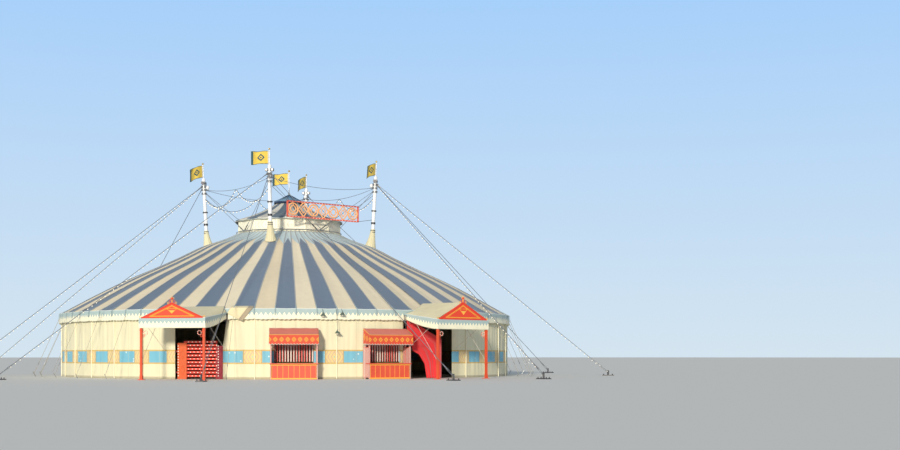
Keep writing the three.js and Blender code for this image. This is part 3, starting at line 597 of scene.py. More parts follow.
def joined_line(shape, points):
    line = [shape.verts.new(point) for point in points]
    return line, [shape.edges.new(pair) for pair in zip(line, line[1:])]


def spun(shape, points, angle, steps, merge=False):
    """A line of points turned about the tent's axis."""
    line, edges = joined_line(shape, points)
    bmesh.ops.spin(shape, geom=line + edges, cent=(0, 0, 0), axis=(0, 0, 1),
                   angle=math.radians(angle), steps=steps, use_merge=merge)


def slide(shape, made, way):
    """Moves what an extrusion has just made."""
    moved = [item for item in made["geom"] if isinstance(item, bmesh.types.BMVert)]
    bmesh.ops.translate(shape, verts=moved, vec=way)


def tape(shape, points, aside):
    """A flat strip from a line of points to the same line moved aside."""
    _, edges = joined_line(shape, points)
    slide(shape, bmesh.ops.extrude_edge_only(shape, edges=edges), aside)


def fill_out(shape, thickness):
    """Gives loose strips their thickness."""
    bmesh.ops.recalc_face_normals(shape, faces=shape.faces)
    bmesh.ops.solidify(shape, geom=shape.faces[:], thickness=-thickness)
    coat(shape.faces, 0)


def map_turned(shape, start, scale, share_at):
    """Maps a cloth turned from a start: azimuths past the first seam across, a share up."""
    map_of = shape.loops.layers.uv.new("cloth")
    for face in shape.faces:
        face.smooth = True
        for loop in face.loops:
            point = loop.vert.co
            loop[map_of].uv = ((azimuth_past(point, start) - FIRST_SEAM) * scale, share_at(point))


roof_canvas, tree, paint, where, across_gores, down_roof = mapped("roof_canvas")
beside = abs(across_gores.fraction() - 0.75)
tip, collar = roof_share(COLLAR_TIP_R), roof_share(COLLAR_FOOT_R)
dark_here = beside < spread(tree, down_roof, 0.0, 0.25, tip, collar)
cream_side = down_roof > beside * -0.26 + (collar + 0.065)
gore_tone = tree.nodes.new("ShaderNodeTexWhiteNoise")
gore_tone.noise_dimensions = "1D"
link(tree, (across_gores * 2.0).math("FLOOR"), gore_tone.inputs["W"])
cream = mixed(tree, gore_tone.outputs["Value"], (0.80, 0.68, 0.47, 1), (0.87, 0.77, 0.56, 1))
blue = mixed(tree, gore_tone.outputs["Value"], (0.135, 0.19, 0.27, 1), (0.175, 0.235, 0.325, 1))
light = (0.55, 0.69, 0.73, 1)
ground_tone = mixed(tree, cream_side, light, cream)
striped = mixed(tree, dark_here, ground_tone, blue)
weathered(tree, paint, striped, where, (1, 1, 0.5), 0.14, 0.55)

webbing = plain_canvas("webbing", (0.44, 0.46, 0.47), 0.2, 0.8)


def roof_sag(radius, azimuth):
    """How far a point lies under the tight line: a hollow in each gore, and draw folds."""
    share = roof_share(radius)
    gore = ((azimuth - FIRST_SEAM) / GORE) % 1.0
    hollow = 0.055 * math.sin(math.pi * gore) * (0.25 + 0.75 * share)
    ruck = noise.noise(Vector((azimuth * 0.55, radius * 0.16, 3.1))) * 0.035
    gather = 0.02 * math.cos(math.radians(azimuth) * 80) * max(0.0, 1 - share * 4)
    return hollow + ruck * min(1.0, share * 5) * min(1.0, (1 - share) * 8) + gather


for side, azimuth in MAST_AZIMUTHS.items():
    start = azimuth - 45
    shape = bmesh.new()
    radii = [RING_R + (EAVE_R - RING_R) * i / ROOF_ROWS for i in range(ROOF_ROWS + 1)]
    spun(shape, [polar(r, start, roof_height(r)) for r in radii], 90, 20 * COLUMNS_PER_GORE)
    mast_foot = mast_point(side, SLEEVE_FOOT_Z).xy
    inside = [face for face in shape.faces
              if (face.calc_center_median().xy - mast_foot).length < MAST_HOLE_R]
    bmesh.ops.delete(shape, geom=inside, context="FACES")
    map_turned(shape, start, 1 / PERIOD, lambda point: roof_share(point.xy.length))
    for vert in shape.verts:
        vert.co.z -= roof_sag(vert.co.xy.length, azimuth_of(vert.co) % 360)
    bmesh.ops.recalc_face_normals(shape, faces=shape.faces)
    cloth = fit_up(f"roof_cloth_{side}", shape, [roof_canvas],
                   stands_for=[f"roof_{side}"], crease=0)
    thicken(cloth, 0.003, -1)

    belts = bmesh.new()
    for k in range(21):
        seam = start + GORE * k
        shift = polar(1, seam + 90) * BELT_WIDTH / 2
        radii = [RING_R + 0.02 + (EAVE_R - RING_R - 0.02) * i / 32 for i in range(33)]
        tape(belts, [polar(r, seam, roof_height(r) - roof_sag(r, seam % 360) + 0.006) - shift
                     for r in radii], 2 * shift)
    fill_out(belts, 0.008)
    fit_up(f"roof_belts_{side}", belts, [webbing])


# Valance. A toothed strip hangs from the eave all round: light blue above, cream teeth
# rising into it, a pale top edge that is a painted highlight, and a lightly scalloped foot.
VALANCE_R = 17.43
EAVE_Z = 4.66
VALANCE_FOOT_Z = 3.95
TEETH_PER_PERIOD = 9
SKY_BLUE = (0.43, 0.56, 0.56)
PALE_CREAM = (0.97, 0.94, 0.72)

valance_canvas, tree, paint, where, across, up = mapped("valance_canvas")
peak = abs(across.fraction() - 0.5) * -0.62 + 0.70
cloth = mixed(tree, up < peak + 0.045, (*SKY_BLUE, 1), (0.25, 0.42, 0.48, 1))
cloth = mixed(tree, up < peak, cloth, (*PALE_CREAM, 1))
# Painted highlight: a pale strip along the top edge, where the eave's edge catches the light.
cloth = mixed(tree, up > 0.955, cloth, (0.78, 0.84, 0.82, 1))
weathered(tree, paint, cloth, where, soil=0.12)


def hung_strip(shape, start, end, radius, top, foot, steps, rows, map_scale, sway):
    """A strip turned about the tent's axis, mapped across and up, then moved by sway."""
    spun(shape, [polar(radius, start, foot + (top - foot) * i / rows) for i in range(rows + 1)],
         end - start, steps)
    map_turned(shape, start, map_scale, lambda point: (point.z - foot) / (top - foot))
    for vert in shape.verts:
        out, lift = sway(azimuth_past(vert.co, start), (vert.co.z - foot) / (top - foot))
        reach = vert.co.xy.length
        vert.co.x *= (reach + out) / reach
        vert.co.y *= (reach + out) / reach
        vert.co.z += lift
    bmesh.ops.recalc_face_normals(shape, faces=shape.faces)


def valance_sway(turn, share):
    loose = 1 - share
    out = 0.03 * loose + 0.028 * loose * noise.noise(Vector((turn * 0.45, share, 7.7)))
    scallop = abs(math.sin(math.pi * (turn - FIRST_SEAM) / PERIOD * TEETH_PER_PERIOD))
    lift = 0.05 * (1 - scallop) * max(0.0, 1 - share * 4)
    droop = -0.03 * math.sin(math.pi * ((turn - FIRST_SEAM) / GORE % 1)) * (1 - share * 0.4)
    return out, lift + droop


for side, azimuth in MAST_AZIMUTHS.items():
    shape = bmesh.new()
    hung_strip(shape, azimuth - 45, azimuth + 45, VALANCE_R - 0.01, EAVE_Z + 0.03, VALANCE_FOOT_Z,
               360, 10, TEETH_PER_PERIOD / PERIOD, valance_sway)
    strip = fit_up(f"valance_cloth_{side}", shape, [valance_canvas],
                   stands_for=[f"valance_{side}"], crease=0)
    thicken(strip, 0.002, -1)


# Eave ropes. A light strap at every seam crosses the valance, and from every second one
# a thin rope runs to a steel stake in the ground; the doorways are kept clear.
STAKE_R = 19.3
STRAP_DROP = 0.42
DOORWAYS = ((-4, 13), (22, 34), (42, 71))
hemp = enamel("hemp", (0.40, 0.36, 0.27), 0.85, 0.3)
strap_canvas = plain_canvas("strap_canvas", (0.40, 0.52, 0.55), 0.2, 0.8)


def clear_of_doorways(azimuth):
    turn = (azimuth + 180) % 360 - 180
    return not any(low <= turn <= high for low, high in DOORWAYS)


for side, azimuth in MAST_AZIMUTHS.items():
    straps = bmesh.new()
    ropes = bmesh.new()
    for k in range(20):
        facing = (azimuth - 45 + GORE * k) % 360
        eye = polar(VALANCE_R + 0.075, facing, EAVE_Z - STRAP_DROP)
        shift = polar(1, facing + 90) * 0.03
        tape(straps, [polar(r, facing, z) - shift for r, z in (
            (EAVE_R - 0.5, roof_height(EAVE_R - 0.5) + 0.012), (EAVE_R + 0.02, EAVE_Z + 0.035),
            (VALANCE_R + 0.05, EAVE_Z - 0.06), (VALANCE_R + 0.075, EAVE_Z - STRAP_DROP))], 2 * shift)
        if k % 2 == 1 or not clear_of_doorways(facing):
            continue
        stake = polar(STAKE_R, facing, 0.22)
        rod(ropes, eye, stake, 0.012, sides=6)
        rod(ropes, eye + UP * 0.05, eye - UP * 0.06, 0.03, sides=8, skin=1)
        lean = polar(0.12, facing)
        rod(ropes, stake - lean - UP * 0.2, stake + lean * 0.6 + UP * 0.12, 0.02, sides=8, skin=1)
        rod(ropes, eye.lerp(stake, 0.78), eye.lerp(stake, 0.84), 0.024, sides=6, skin=1)
    fill_out(straps, 0.01)
    fit_up(f"eave_straps_{side}", straps, [strap_canvas])
    fit_up(f"eave_ropes_{side}", ropes, [hemp, zinc])


# Side wall. Cream canvas hung in lengths from the eave hoop, creased where it is laced
# and rolled, with painted shade along the laced creases, and a painted dado of sky-blue
# and yellow panels between ochre lines.
WALL_R = 17.22
WALL_Z = 4.6
DADO_LOW, DADO_HIGH = 1.05, 1.9
BLUE_FROM, BLUE_TO = 0.17, 0.72
HATCH_HALF, HATCH_LOW, HATCH_HIGH = 1.3, 1.1, 2.9
HATCH_FROM_AXIS = 15
WALL_LENGTHS = {
    "wall_booths": (12.4, 53.69), "wall_right": (68.31, 118.5), "wall_back_right": (118.5, 172.5),
    "wall_back": (172.5, 231), "wall_back_left": (231, 289.5), "wall_left": (289.5, 361.1),
}
BOOTHS = {"left": 28, "right": 48.5}

wall_canvas, tree, paint, where, along, up = mapped("wall_canvas")
bay_share = along.fraction()
in_dado = (up > DADO_LOW / WALL_Z) * (up < DADO_HIGH / WALL_Z)
in_blue = (bay_share > BLUE_FROM) * (bay_share < BLUE_TO)
height_in = up * (WALL_Z / (DADO_HIGH - DADO_LOW)) + (-DADO_LOW / (DADO_HIGH - DADO_LOW) - 0.5)
wrapped = (bay_share - 0.945 + 0.5).fraction() - 0.5
lozenge = abs(wrapped * 5.2) + abs(height_in)
ring = (lozenge * 2.4).math("PINGPONG", 0.5)
ornament = mixed(tree, ring < 0.13, (0.84, 0.66, 0.30, 1), (0.66, 0.46, 0.36, 1))
ornament = mixed(tree, lozenge < 0.1, ornament, (0.42, 0.62, 0.50, 1))
stars = tree.nodes.new("ShaderNodeTexVoronoi")
stars.inputs["Scale"].default_value = 5.0
link(tree, where, stars.inputs["Vector"])
fleck = Value(tree, stars.outputs["Distance"]) < 0.16
blue_panel = mixed(tree, fleck, (0.20, 0.53, 0.70, 1), (0.66, 0.83, 0.88, 1))
panels = mixed(tree, in_blue, ornament, blue_panel)
cloth = mixed(tree, in_dado, (0.86, 0.81, 0.565, 1), panels)
cloth = mixed(tree, abs(abs(height_in) - 0.5) < 0.055, cloth, (0.68, 0.48, 0.16, 1))
side_edge = abs(bay_share - BLUE_FROM).math("MINIMUM", abs(bay_share - BLUE_TO))
cloth = mixed(tree, (side_edge < 0.012) * in_dado, cloth, (0.60, 0.42, 0.16, 1))
# A darker greenish line at each lacing seam: the lacing, with painted shade of the crease it makes.
lacing_crease_shade = abs((along * 2.0 + 0.5).fraction() - 0.5) < 0.012
cloth = mixed(tree, lacing_crease_shade * 0.5, cloth, (0.52, 0.52, 0.36, 1))
cloth = mixed(tree, (up < 0.035) * 0.6, cloth, (0.42, 0.38, 0.28, 1))
weathered(tree, paint, cloth, where, (1, 1, 0.08), 0.14, 0.6)


def wall_sway(turn, share):
    """Hanging folds: pinned at the hoop, deepest halfway, spread a little at the foot."""
    pin = ((turn - FIRST_SEAM) / GORE) % 1.0
    slack = math.sin(math.pi * share) * 0.8 + 0.25 * (1 - share)
    wave = noise.noise(Vector((turn * 1.6, share * 0.7, 1.3))) + 0.6 * noise.noise(
        Vector((turn * 4.3, share * 1.1, 9.2)))
    belly = -0.03 * math.sin(math.pi * pin) * slack
    return belly + 0.05 * wave * slack * min(1.0, (1 - share) * 8 + 0.05), 0.0


for name, (start, end) in WALL_LENGTHS.items():
    shape = bmesh.new()
    steps = round((end - start) * 3)
    hung_strip(shape, start, end, WALL_R, WALL_Z + 0.02, 0.0, steps, 30, 1 / PERIOD, wall_sway)
    if name == "wall_booths":
        for vert in shape.verts:
            aside = azimuth_of(vert.co) - start
            drawn = 0.5 * max(0.0, 1 - aside / 3) * max(0.0, vert.co.z - 2.2)
            vert.co.rotate(Matrix.Rotation(math.radians(drawn), 3, "Z"))
        for azimuth in BOOTHS.values():
            aside, out = polar(1, azimuth + 90), polar(1, azimuth)
            hatch = [face for face in shape.faces
                     if abs(face.calc_center_median().dot(aside)) < HATCH_HALF
                     and face.calc_center_median().dot(out) > HATCH_FROM_AXIS
                     and HATCH_LOW < face.calc_center_median().z < HATCH_HIGH]
            bmesh.ops.delete(shape, geom=hatch, context="FACES")
    cloth = fit_up(f"{name}_cloth", shape, [wall_canvas], stands_for=[name], crease=0)
    thicken(cloth, 0.0025, -1)
    arc = WALL_R * math.radians(end - start) * HALF


# Flags. Yellow bunting with a blue-green fly end and bound edges, held to each staff by
# three rings and blown to the left of the view; each of the five droops in its own way.
WIND_AZIMUTH = VIEW_AZIMUTH - 90
CUPOLA_STAFF_TOP = 16.16
MAST_FLAG_SIZE = (1.35, 0.95)
CUPOLA_FLAG_SIZE = (1.3, 0.88)
MAST_FLAG_WAYS = {"front": (6, 0.12), "right": (52, 0.42), "back": (56, 0.5), "left": (42, 0.5)}

flag_cloth, tree, paint, where, along, up = mapped("flag_cloth")
from_middle = abs(up - 0.5)
motif = abs(along * 1.4 + -0.62) + from_middle
outline = (motif < 0.3) * (motif > 0.17)
dark = (along > 0.87) | (from_middle > 0.46) | outline | (motif < 0.07)
yellow = mixed(tree, cloud(tree, where, 6.0), (0.78, 0.52, 0.06, 1), (0.92, 0.70, 0.14, 1))
dyed = mixed(tree, dark, yellow, (0.045, 0.12, 0.14, 1))
dyed = mixed(tree, along < 0.045, dyed, (0.78, 0.75, 0.66, 1))
weathered(tree, paint, dyed, where, (1, 1, 0.4), 0.12, 0.8)


def cloth_grid(shape, columns, rows, place, map_scale=(1, 1)):
    """A cloth as a grid. Place gives a point for the shares across it and up it."""
    bmesh.ops.create_grid(shape, x_segments=columns, y_segments=rows, size=0.5)
    map_of = shape.loops.layers.uv.new("cloth")
    for face in shape.faces:
        face.smooth = True
        for loop in face.loops:
            share = loop.vert.co
            loop[map_of].uv = ((share.x + 0.5) * map_scale[0], (share.y + 0.5) * map_scale[1])
    for vert in shape.verts:
        vert.co = place(vert.co.x + 0.5, vert.co.y + 0.5)
    bmesh.ops.recalc_face_normals(shape, faces=shape.faces)


def hoop(shape, centre, axis, radius, thick, skin=0, steps=24):
    """A ring of round bar: a small circle spun about an axis."""
    before = set(shape.faces)
    axis = axis.normalized()
    aside = axis.orthogonal().normalized()
    lay = Matrix.Translation(centre + aside * radius) @ axis.cross(aside).to_track_quat(
        "Z", "Y").to_matrix().to_4x4()
    made = bmesh.ops.create_circle(shape, segments=8, radius=thick, matrix=lay)
    edges = list({edge for vert in made["verts"] for edge in vert.link_edges})
    bmesh.ops.spin(shape, geom=made["verts"] + edges, cent=centre, axis=axis,
                   angle=2 * math.pi, steps=steps, use_merge=True)
    ring = [face for face in shape.faces if face not in before]
    bmesh.ops.recalc_face_normals(shape, faces=ring)
    coat(ring, skin)


def fly_flag(name, staff_at, top, size, heading, droop, waves, node):
    long, tall = size
    fly, aside = polar(1, heading), polar(1, heading + 90)

    def place(along, up):
        point = staff_at(top - tall * (1 - up)) + fly * long * (0.04 + 0.96 * along)
        sway = 0.075 * along * math.sin(waves * 2 * math.pi * along + 0.9 * (up - 0.5))
        flutter = 0.05 * along * noise.noise(Vector((along * 3.5, up * 2.5, heading)))
        point += aside * (sway + flutter)
        point.z -= droop * along ** 1.5 + 0.03 * along * math.sin(9 * along + 3 * up)
        return point

    shape = bmesh.new()
    cloth_grid(shape, 40, 26, place)
    for up in (0.06, 0.5, 0.94):
        hoop(shape, staff_at(top - tall * (1 - up)) + fly * 0.01, UP, 0.05, 0.006, 1)
    flag = fit_up(name, shape, [flag_cloth, zinc], stands_for=[node], crease=0)
    thicken(flag, 0.0008)


for side, (yaw, droop) in MAST_FLAG_WAYS.items():
    fly_flag(f"bunting_{side}", lambda z: mast_point(side, z), STAFF_TOP_Z - 0.12, MAST_FLAG_SIZE,
             WIND_AZIMUTH + yaw, droop, 1.2, f"flag_{side}")
fly_flag("bunting_cupola", lambda z: UP * z, CUPOLA_STAFF_TOP - 0.16, CUPOLA_FLAG_SIZE,
         WIND_AZIMUTH, 0.15, 1.1, "flag_cupola")


# Ground stays. Three wire ropes run from a clamp under each mast's head to plates staked
# down outside, each drawn tight by a bottle screw. Some of them carry lamps.
STAY_ANCHOR_R = 25.1
STAY_SPREAD = 36
STAY_RADIUS = 0.021
STAY_TOP_Z = 15.0
STAY_EYE_Z = 0.28
STAY_LAMP_SPACING = 0.38
LIT_STAYS = {"front": (-1,), "right": (-1, 0), "back": (1,), "left": (0, 1)}
wire = enamel("wire", (0.25, 0.27, 0.30), 0.5, 0.3, 0.4)


def ring_point(side, height, toward):
    """Where a rope that heads toward a point leaves its clamp on the mast."""
    axis = mast_point(side, height)
    way = (toward - axis) * Vector((1, 1, 0))
    return axis + way.normalized() * (MAST_RADIUS + 0.037)


def mast_clamp(shape, side, height, tall):
    low, high = mast_point(side, height), mast_point(side, height + tall)
    rod(shape, low, high, MAST_RADIUS + 0.03, sides=32)
    for share in (0.12, 0.88):
        at = low.lerp(high, share)
        rod(shape, at - (high - low) * 0.1, at + (high - low) * 0.1, MAST_RADIUS + 0.085, sides=32)


def bottle_screw(shape, start, end):
    """An open body with a screw at each end, between a rope's end and its ground eye."""
    way = (end - start).normalized()
    aside = way.orthogonal().normalized()
    for turn in (-1, 1):
        rod(shape, start + way * 0.1 + aside * 0.045 * turn, end - way * 0.1 + aside * 0.045 * turn,
            0.014, sides=8)
    for at in (start + way * 0.1, end - way * 0.1):
        rod(shape, at - way * 0.04, at + way * 0.04, 0.052, sides=6)
    rod(shape, start - way * 0.12, start + way * 0.28, 0.02, sides=8)
    rod(shape, end - way * 0.28, end + way * 0.02, 0.02, sides=8)


for side, azimuth in MAST_AZIMUTHS.items():
    routes = {}
    shape = bmesh.new()
    mast_clamp(shape, side, STAY_TOP_Z - 0.1, 0.2)
    for turn in (-1, 0, 1):
        facing = azimuth + turn * STAY_SPREAD
        anchor = polar(STAY_ANCHOR_R, facing)
        top = ring_point(side, STAY_TOP_Z, anchor)
        foot = polar(STAY_ANCHOR_R, facing, STAY_EYE_Z)
        way = (foot - top).normalized()
        screw = foot - way * 0.9
        routes[turn] = [top, screw]
        rod(shape, top - way * 0.02, top + way * 0.42, 0.045, 0.03, sides=12)
        hoop(shape, top + way * 0.02, way.cross(UP), 0.07, 0.016, steps=16)
        rod(shape, screw - way * 0.35, screw + way * 0.02, 0.03, 0.045, sides=12)
        bottle_screw(shape, screw, foot)
        hoop(shape, foot + way * 0.01, way.cross(UP), 0.085, 0.018, steps=16)
        box(shape, (-0.25, -STAY_ANCHOR_R - 0.45, 0), (0.25, -STAY_ANCHOR_R + 0.45, 0.06), 1, facing)
        rod(shape, anchor + UP * 0.02, anchor + UP * 0.4, 0.07, 0.06, sides=20, skin=1)
        ball(shape, anchor + UP * 0.4, 0.07, 1, 16, 0.35)
        for a in (-0.34, 0.34):
            for b in (-0.17, 0.17):
                at = polar(STAY_ANCHOR_R + a, facing) + polar(1, facing + 90) * b
                rod(shape, at + UP * 0.05, at + UP * 0.15, 0.035, sides=10, skin=1)
    wires(f"stay_ropes_{side}", routes.values(), STAY_RADIUS, wire)
    fit_up(f"stay_fittings_{side}", shape, [zinc, dark_steel],
           stands_for=[f"ground_stays_{side}"])
    lamps = bmesh.new()
    for turn in LIT_STAYS[side]:
        for at in along_route(routes[turn], STAY_LAMP_SPACING, 0.8):
            bulb(lamps, at - UP * STAY_RADIUS, 0.036)
    fit_up(f"stay_lamps_{side}", lamps, [lamp_glass, cable_rubber])


# Head ropes and crown ropes. One loop of wire ties the four mast heads together, and
# eight wires run down from the heads to a collar round the cupola's foot.
HEAD_ROPE_Z = 14.74
HEAD_ROPE_SAG = 0.42
CROWN_ROPE_Z = 14.46
CROWN_FOOT_R = 4.11
CROWN_FOOT_Z = 11.19
CROWN_TURN = 44

spans = []
shape = bmesh.new()
for side in MAST_AZIMUTHS:
    other = next_side(side)
    start = ring_point(side, HEAD_ROPE_Z, mast_point(other, HEAD_ROPE_Z))
    end = ring_point(other, HEAD_ROPE_Z, mast_point(side, HEAD_ROPE_Z))
    span = [start.lerp(end, i / 32) for i in range(33)]
    for i, point in enumerate(span):
        point.z -= HEAD_ROPE_SAG * 4 * i / 32 * (1 - i / 32)
    spans.append(span)
    mast_clamp(shape, side, HEAD_ROPE_Z - 0.06, 0.12)
    way = (span[1] - span[0]).normalized()
    rod(shape, start, start + way * 0.3, 0.035, 0.026, sides=10)
    back = (span[-2] - span[-1]).normalized()
    rod(shape, end, end + back * 0.3, 0.035, 0.026, sides=10)
wires("head_ropes", spans, 0.016, wire)
fit_up("head_clamps", shape, [zinc], stands_for=["head_rope"])

lines = []
shape = bmesh.new()
hoop(shape, UP * CROWN_FOOT_Z, UP, CROWN_FOOT_R, 0.03, steps=96)
for side, azimuth in MAST_AZIMUTHS.items():
    mast_clamp(shape, side, CROWN_ROPE_Z - 0.08, 0.14)
    for turn in (-CROWN_TURN, CROWN_TURN):
        foot = polar(CROWN_FOOT_R, azimuth + turn, CROWN_FOOT_Z)
        top = ring_point(side, CROWN_ROPE_Z, foot)
        way = (foot - top).normalized()
        lines.append([top, foot])
        rod(shape, foot - way * 0.7, foot - way * 0.2, 0.035, sides=8, skin=1)
        rod(shape, foot - way * 0.2, foot, 0.05, sides=8)
wires("crown_lines", lines, 0.017, wire)
fit_up("crown_collar", shape, [zinc, dark_steel], stands_for=["crown_ropes"])


# Cupola. A hung steel ring carries a band of twelve framed boards, a striped canvas roof
# that sweeps up to a blue faceted cap, and a flag staff on top.
BAND_R = 4.08
BAND_LOW, BAND_HIGH = 11.05, 12.1
BAND_SIDES = 12
CUPOLA_CURVE = ((4.2, 12.13), (3.3, 12.43), (2.4, 12.79), (1.7, 13.15), (1.05, 13.53))
CUPOLA_PERIOD = 30
CUPOLA_FIRST = 7.5
CUPOLA_HEM_R, CUPOLA_HEM_Z = 4.215, 12.03
CAP_RADIUS = 1.2
CAP_LOW, CAP_TOP_Z = 13.54, 14.26
CAP_BEND_R, CAP_BEND_Z = 0.78, 13.89
CAP_TURN = 15

ring_paint = enamel("ring_paint", (0.50, 0.52, 0.53), 0.45, 0.2, 0.4)
for slot in nodes["cupola_ring"].material_slots:
    slot.material = ring_paint

band_paint, tree, paint, where, across, up = mapped("band_paint")
side_x = abs((across - 0.5) * 2.0)
side_y = abs(up - 0.5)
bent = side_x - (side_y * 9.0).math("SINE") * 0.10
scroll = (bent + side_y * 1.1).math("PINGPONG", 0.16)
stroke = (scroll < 0.03) * ((side_x < 0.72) * (side_y < 0.30))
border = ((abs(side_x - 0.84) < 0.012) * (side_y < 0.382)) | ((abs(side_y - 0.37) < 0.012)
                                                              * (side_x < 0.852))
painted = mixed(tree, stroke * 0.5, (0.99, 0.97, 0.80, 1), (0.70, 0.60, 0.38, 1))
painted = mixed(tree, border * 0.8, painted, (0.62, 0.58, 0.34, 1))
weathered(tree, paint, painted, where, (1, 1, 0.2), 0.12, 0.5)
cream_enamel = enamel("cream_enamel", (0.90, 0.86, 0.68), 0.45, 0.15)


def repeat_round(shape, copies):
    """Copies of all that is in a shape, evenly round the tent's axis."""
    everything = shape.verts[:] + shape.edges[:] + shape.faces[:]
    bmesh.ops.spin(shape, geom=everything, cent=(0, 0, 0), axis=(0, 0, 1), use_duplicate=True,
                   angle=2 * math.pi * (copies - 1) / copies, steps=copies - 1)


flat_r = BAND_R * math.cos(math.pi / BAND_SIDES)
half_side = BAND_R * math.sin(math.pi / BAND_SIDES)
shape = bmesh.new()
cloth_grid(shape, 6, 4, lambda a, b: Vector(((a * 2 - 1) * (half_side - 0.04), -flat_r - 0.002,
                                             BAND_LOW + 0.03 + b * (BAND_HIGH - BAND_LOW - 0.06))))
box(shape, (-half_side, -flat_r, BAND_LOW), (half_side, -flat_r + 0.05, BAND_HIGH), 1)
for low, high in ((BAND_LOW, BAND_LOW + 0.07), (BAND_HIGH - 0.07, BAND_HIGH)):
    box(shape, (-half_side - 0.005, -flat_r - 0.03, low), (half_side + 0.005, -flat_r, high), 1)
for x in (-half_side + 0.035, half_side - 0.035):
    box(shape, (x - 0.03, -flat_r - 0.024, BAND_LOW), (x + 0.03, -flat_r, BAND_HIGH), 1)
repeat_round(shape, BAND_SIDES)
fit_up("cupola_boards", shape, [band_paint, cream_enamel], stands_for=["cupola_band"])

cupola_canvas, tree, paint, where, across_wedges, up_roof = mapped("cupola_canvas")
in_pair = across_wedges.fraction()
wedges = mixed(tree, in_pair < 0.5, (0.66, 0.63, 0.55, 1), (0.10, 0.15, 0.20, 1))
seam = in_pair.math("PINGPONG", 0.25) < 0.008
wedges = mixed(tree, seam * 0.6, wedges, (0.30, 0.32, 0.33, 1))
wedges = mixed(tree, up_roof < 0.03, wedges, (0.72, 0.76, 0.74, 1))
weathered(tree, paint, wedges, where, (1, 1, 0.5), 0.16, 0.55)


def map_round(shape, first, period, foot, top):
    """Maps a turned shape: periods of azimuth across, and the height's share up."""
    map_of = shape.loops.layers.uv.new("cloth")
    for face in shape.faces:
        face.smooth = True
        facing = azimuth_of(face.calc_center_median())
        for loop in face.loops:
            point = loop.vert.co
            turn = facing + (azimuth_of(point) - facing + 180) % 360 - 180
            loop[map_of].uv = ((turn - first) / period, (point.z - foot) / (top - foot))


shape = bmesh.new()
profile = smooth_route([Vector((0, -r, z)) for r, z in CUPOLA_CURVE], 6)
profile.insert(0, Vector((0, -CUPOLA_HEM_R, CUPOLA_HEM_Z)))
spun(shape, profile, 360, 192, True)
bmesh.ops.rotate(shape, verts=shape.verts, cent=(0, 0, 0),
                 matrix=Matrix.Rotation(math.radians(CUPOLA_FIRST), 3, "Z"))
map_round(shape, CUPOLA_FIRST, CUPOLA_PERIOD, CUPOLA_HEM_Z, CUPOLA_CURVE[-1][1])
for vert in shape.verts:
    wedge = ((azimuth_of(vert.co) - CUPOLA_FIRST) / (CUPOLA_PERIOD / 2)) % 1
    vert.co.z -= 0.045 * math.sin(math.pi * wedge) * min(1.0, (vert.co.xy.length - 1.0) / 1.5)
bmesh.ops.recalc_face_normals(shape, faces=shape.faces)
cloth = fit_up("cupola_cloth", shape, [cupola_canvas], stands_for=["cupola_roof"],
               crease=0)
thicken(cloth, 0.003)

cap_canvas = plain_canvas("cap_canvas", (0.17, 0.37, 0.55), 0.12, 0.5)
navy_canvas = plain_canvas("navy_canvas", (0.02, 0.045, 0.11), 0.12, 0.55)
shape = bmesh.new()
profile = [(CAP_RADIUS + 0.01, CAP_LOW), (CAP_RADIUS + 0.01, CAP_LOW + 0.15),
           (CAP_RADIUS, CAP_LOW + 0.17), (CAP_BEND_R, CAP_BEND_Z), (0.40, 14.08), (0.12, 14.24),
           (0.04, CAP_TOP_Z)]
spun(shape, [(0, -r, z) for r, z in profile], 360, BAND_SIDES, True)
bmesh.ops.rotate(shape, verts=shape.verts, cent=(0, 0, 0),
                 matrix=Matrix.Rotation(math.radians(CAP_TURN), 3, "Z"))
coat(shape.faces, 0, False)
coat([face for face in shape.faces if face.calc_center_median().z < CAP_LOW + 0.15], 1, False)
bmesh.ops.recalc_face_normals(shape, faces=shape.faces)
cap = fit_up("cap_cloth", shape, [cap_canvas, navy_canvas], stands_for=["cupola_cap"])
thicken(cap, 0.004)

shape = bmesh.new()
rod(shape, UP * 14.18, UP * 14.38, 0.09, 0.06, sides=24)
rod(shape, UP * 14.3, UP * CUPOLA_STAFF_TOP, 0.04, 0.03, sides=16)
ball(shape, UP * CUPOLA_STAFF_TOP, 0.08, 1, 20)
hoop(shape, UP * 14.36, UP, 0.075, 0.02, 1)
for k in range(BAND_SIDES):
    facing = CAP_TURN + 360 / BAND_SIDES * k
    bend = polar(CAP_BEND_R, facing, CAP_BEND_Z + 0.005)
    rod(shape, polar(CAP_RADIUS, facing, CAP_LOW + 0.17), bend, 0.018, sides=6, skin=2)
    rod(shape, bend, polar(0.12, facing, 14.25), 0.018, sides=6, skin=2)
fit_up("staff_and_ribs", shape, [white_enamel, gilt, navy_canvas],
       stands_for=["cupola_staff"])


# Roof sign. A long red steel frame hung on four ropes between the front and right masts,
# filled with rings and lozenges of painted tube, with lamps along its edges.
SIGN_AZIMUTH = 60
SIGN_DISTANCE = 4.78
SIGN_HALF = 3.3
SIGN_LOW, SIGN_HIGH = 11.95, 13.2
SIGN_MOTIFS = 7
SIGN_TUBE, SIGN_THIN_TUBE = 0.05, 0.038
SIGN_LAMPS = 24
sign_red = enamel("sign_red", (0.86, 0.15, 0.09), 0.35, 0.12)
sign_orange = enamel("sign_orange", (0.98, 0.50, 0.22), 0.35, 0.1)
sign_purple = enamel("sign_purple", (0.14, 0.03, 0.10), 0.4, 0.15)

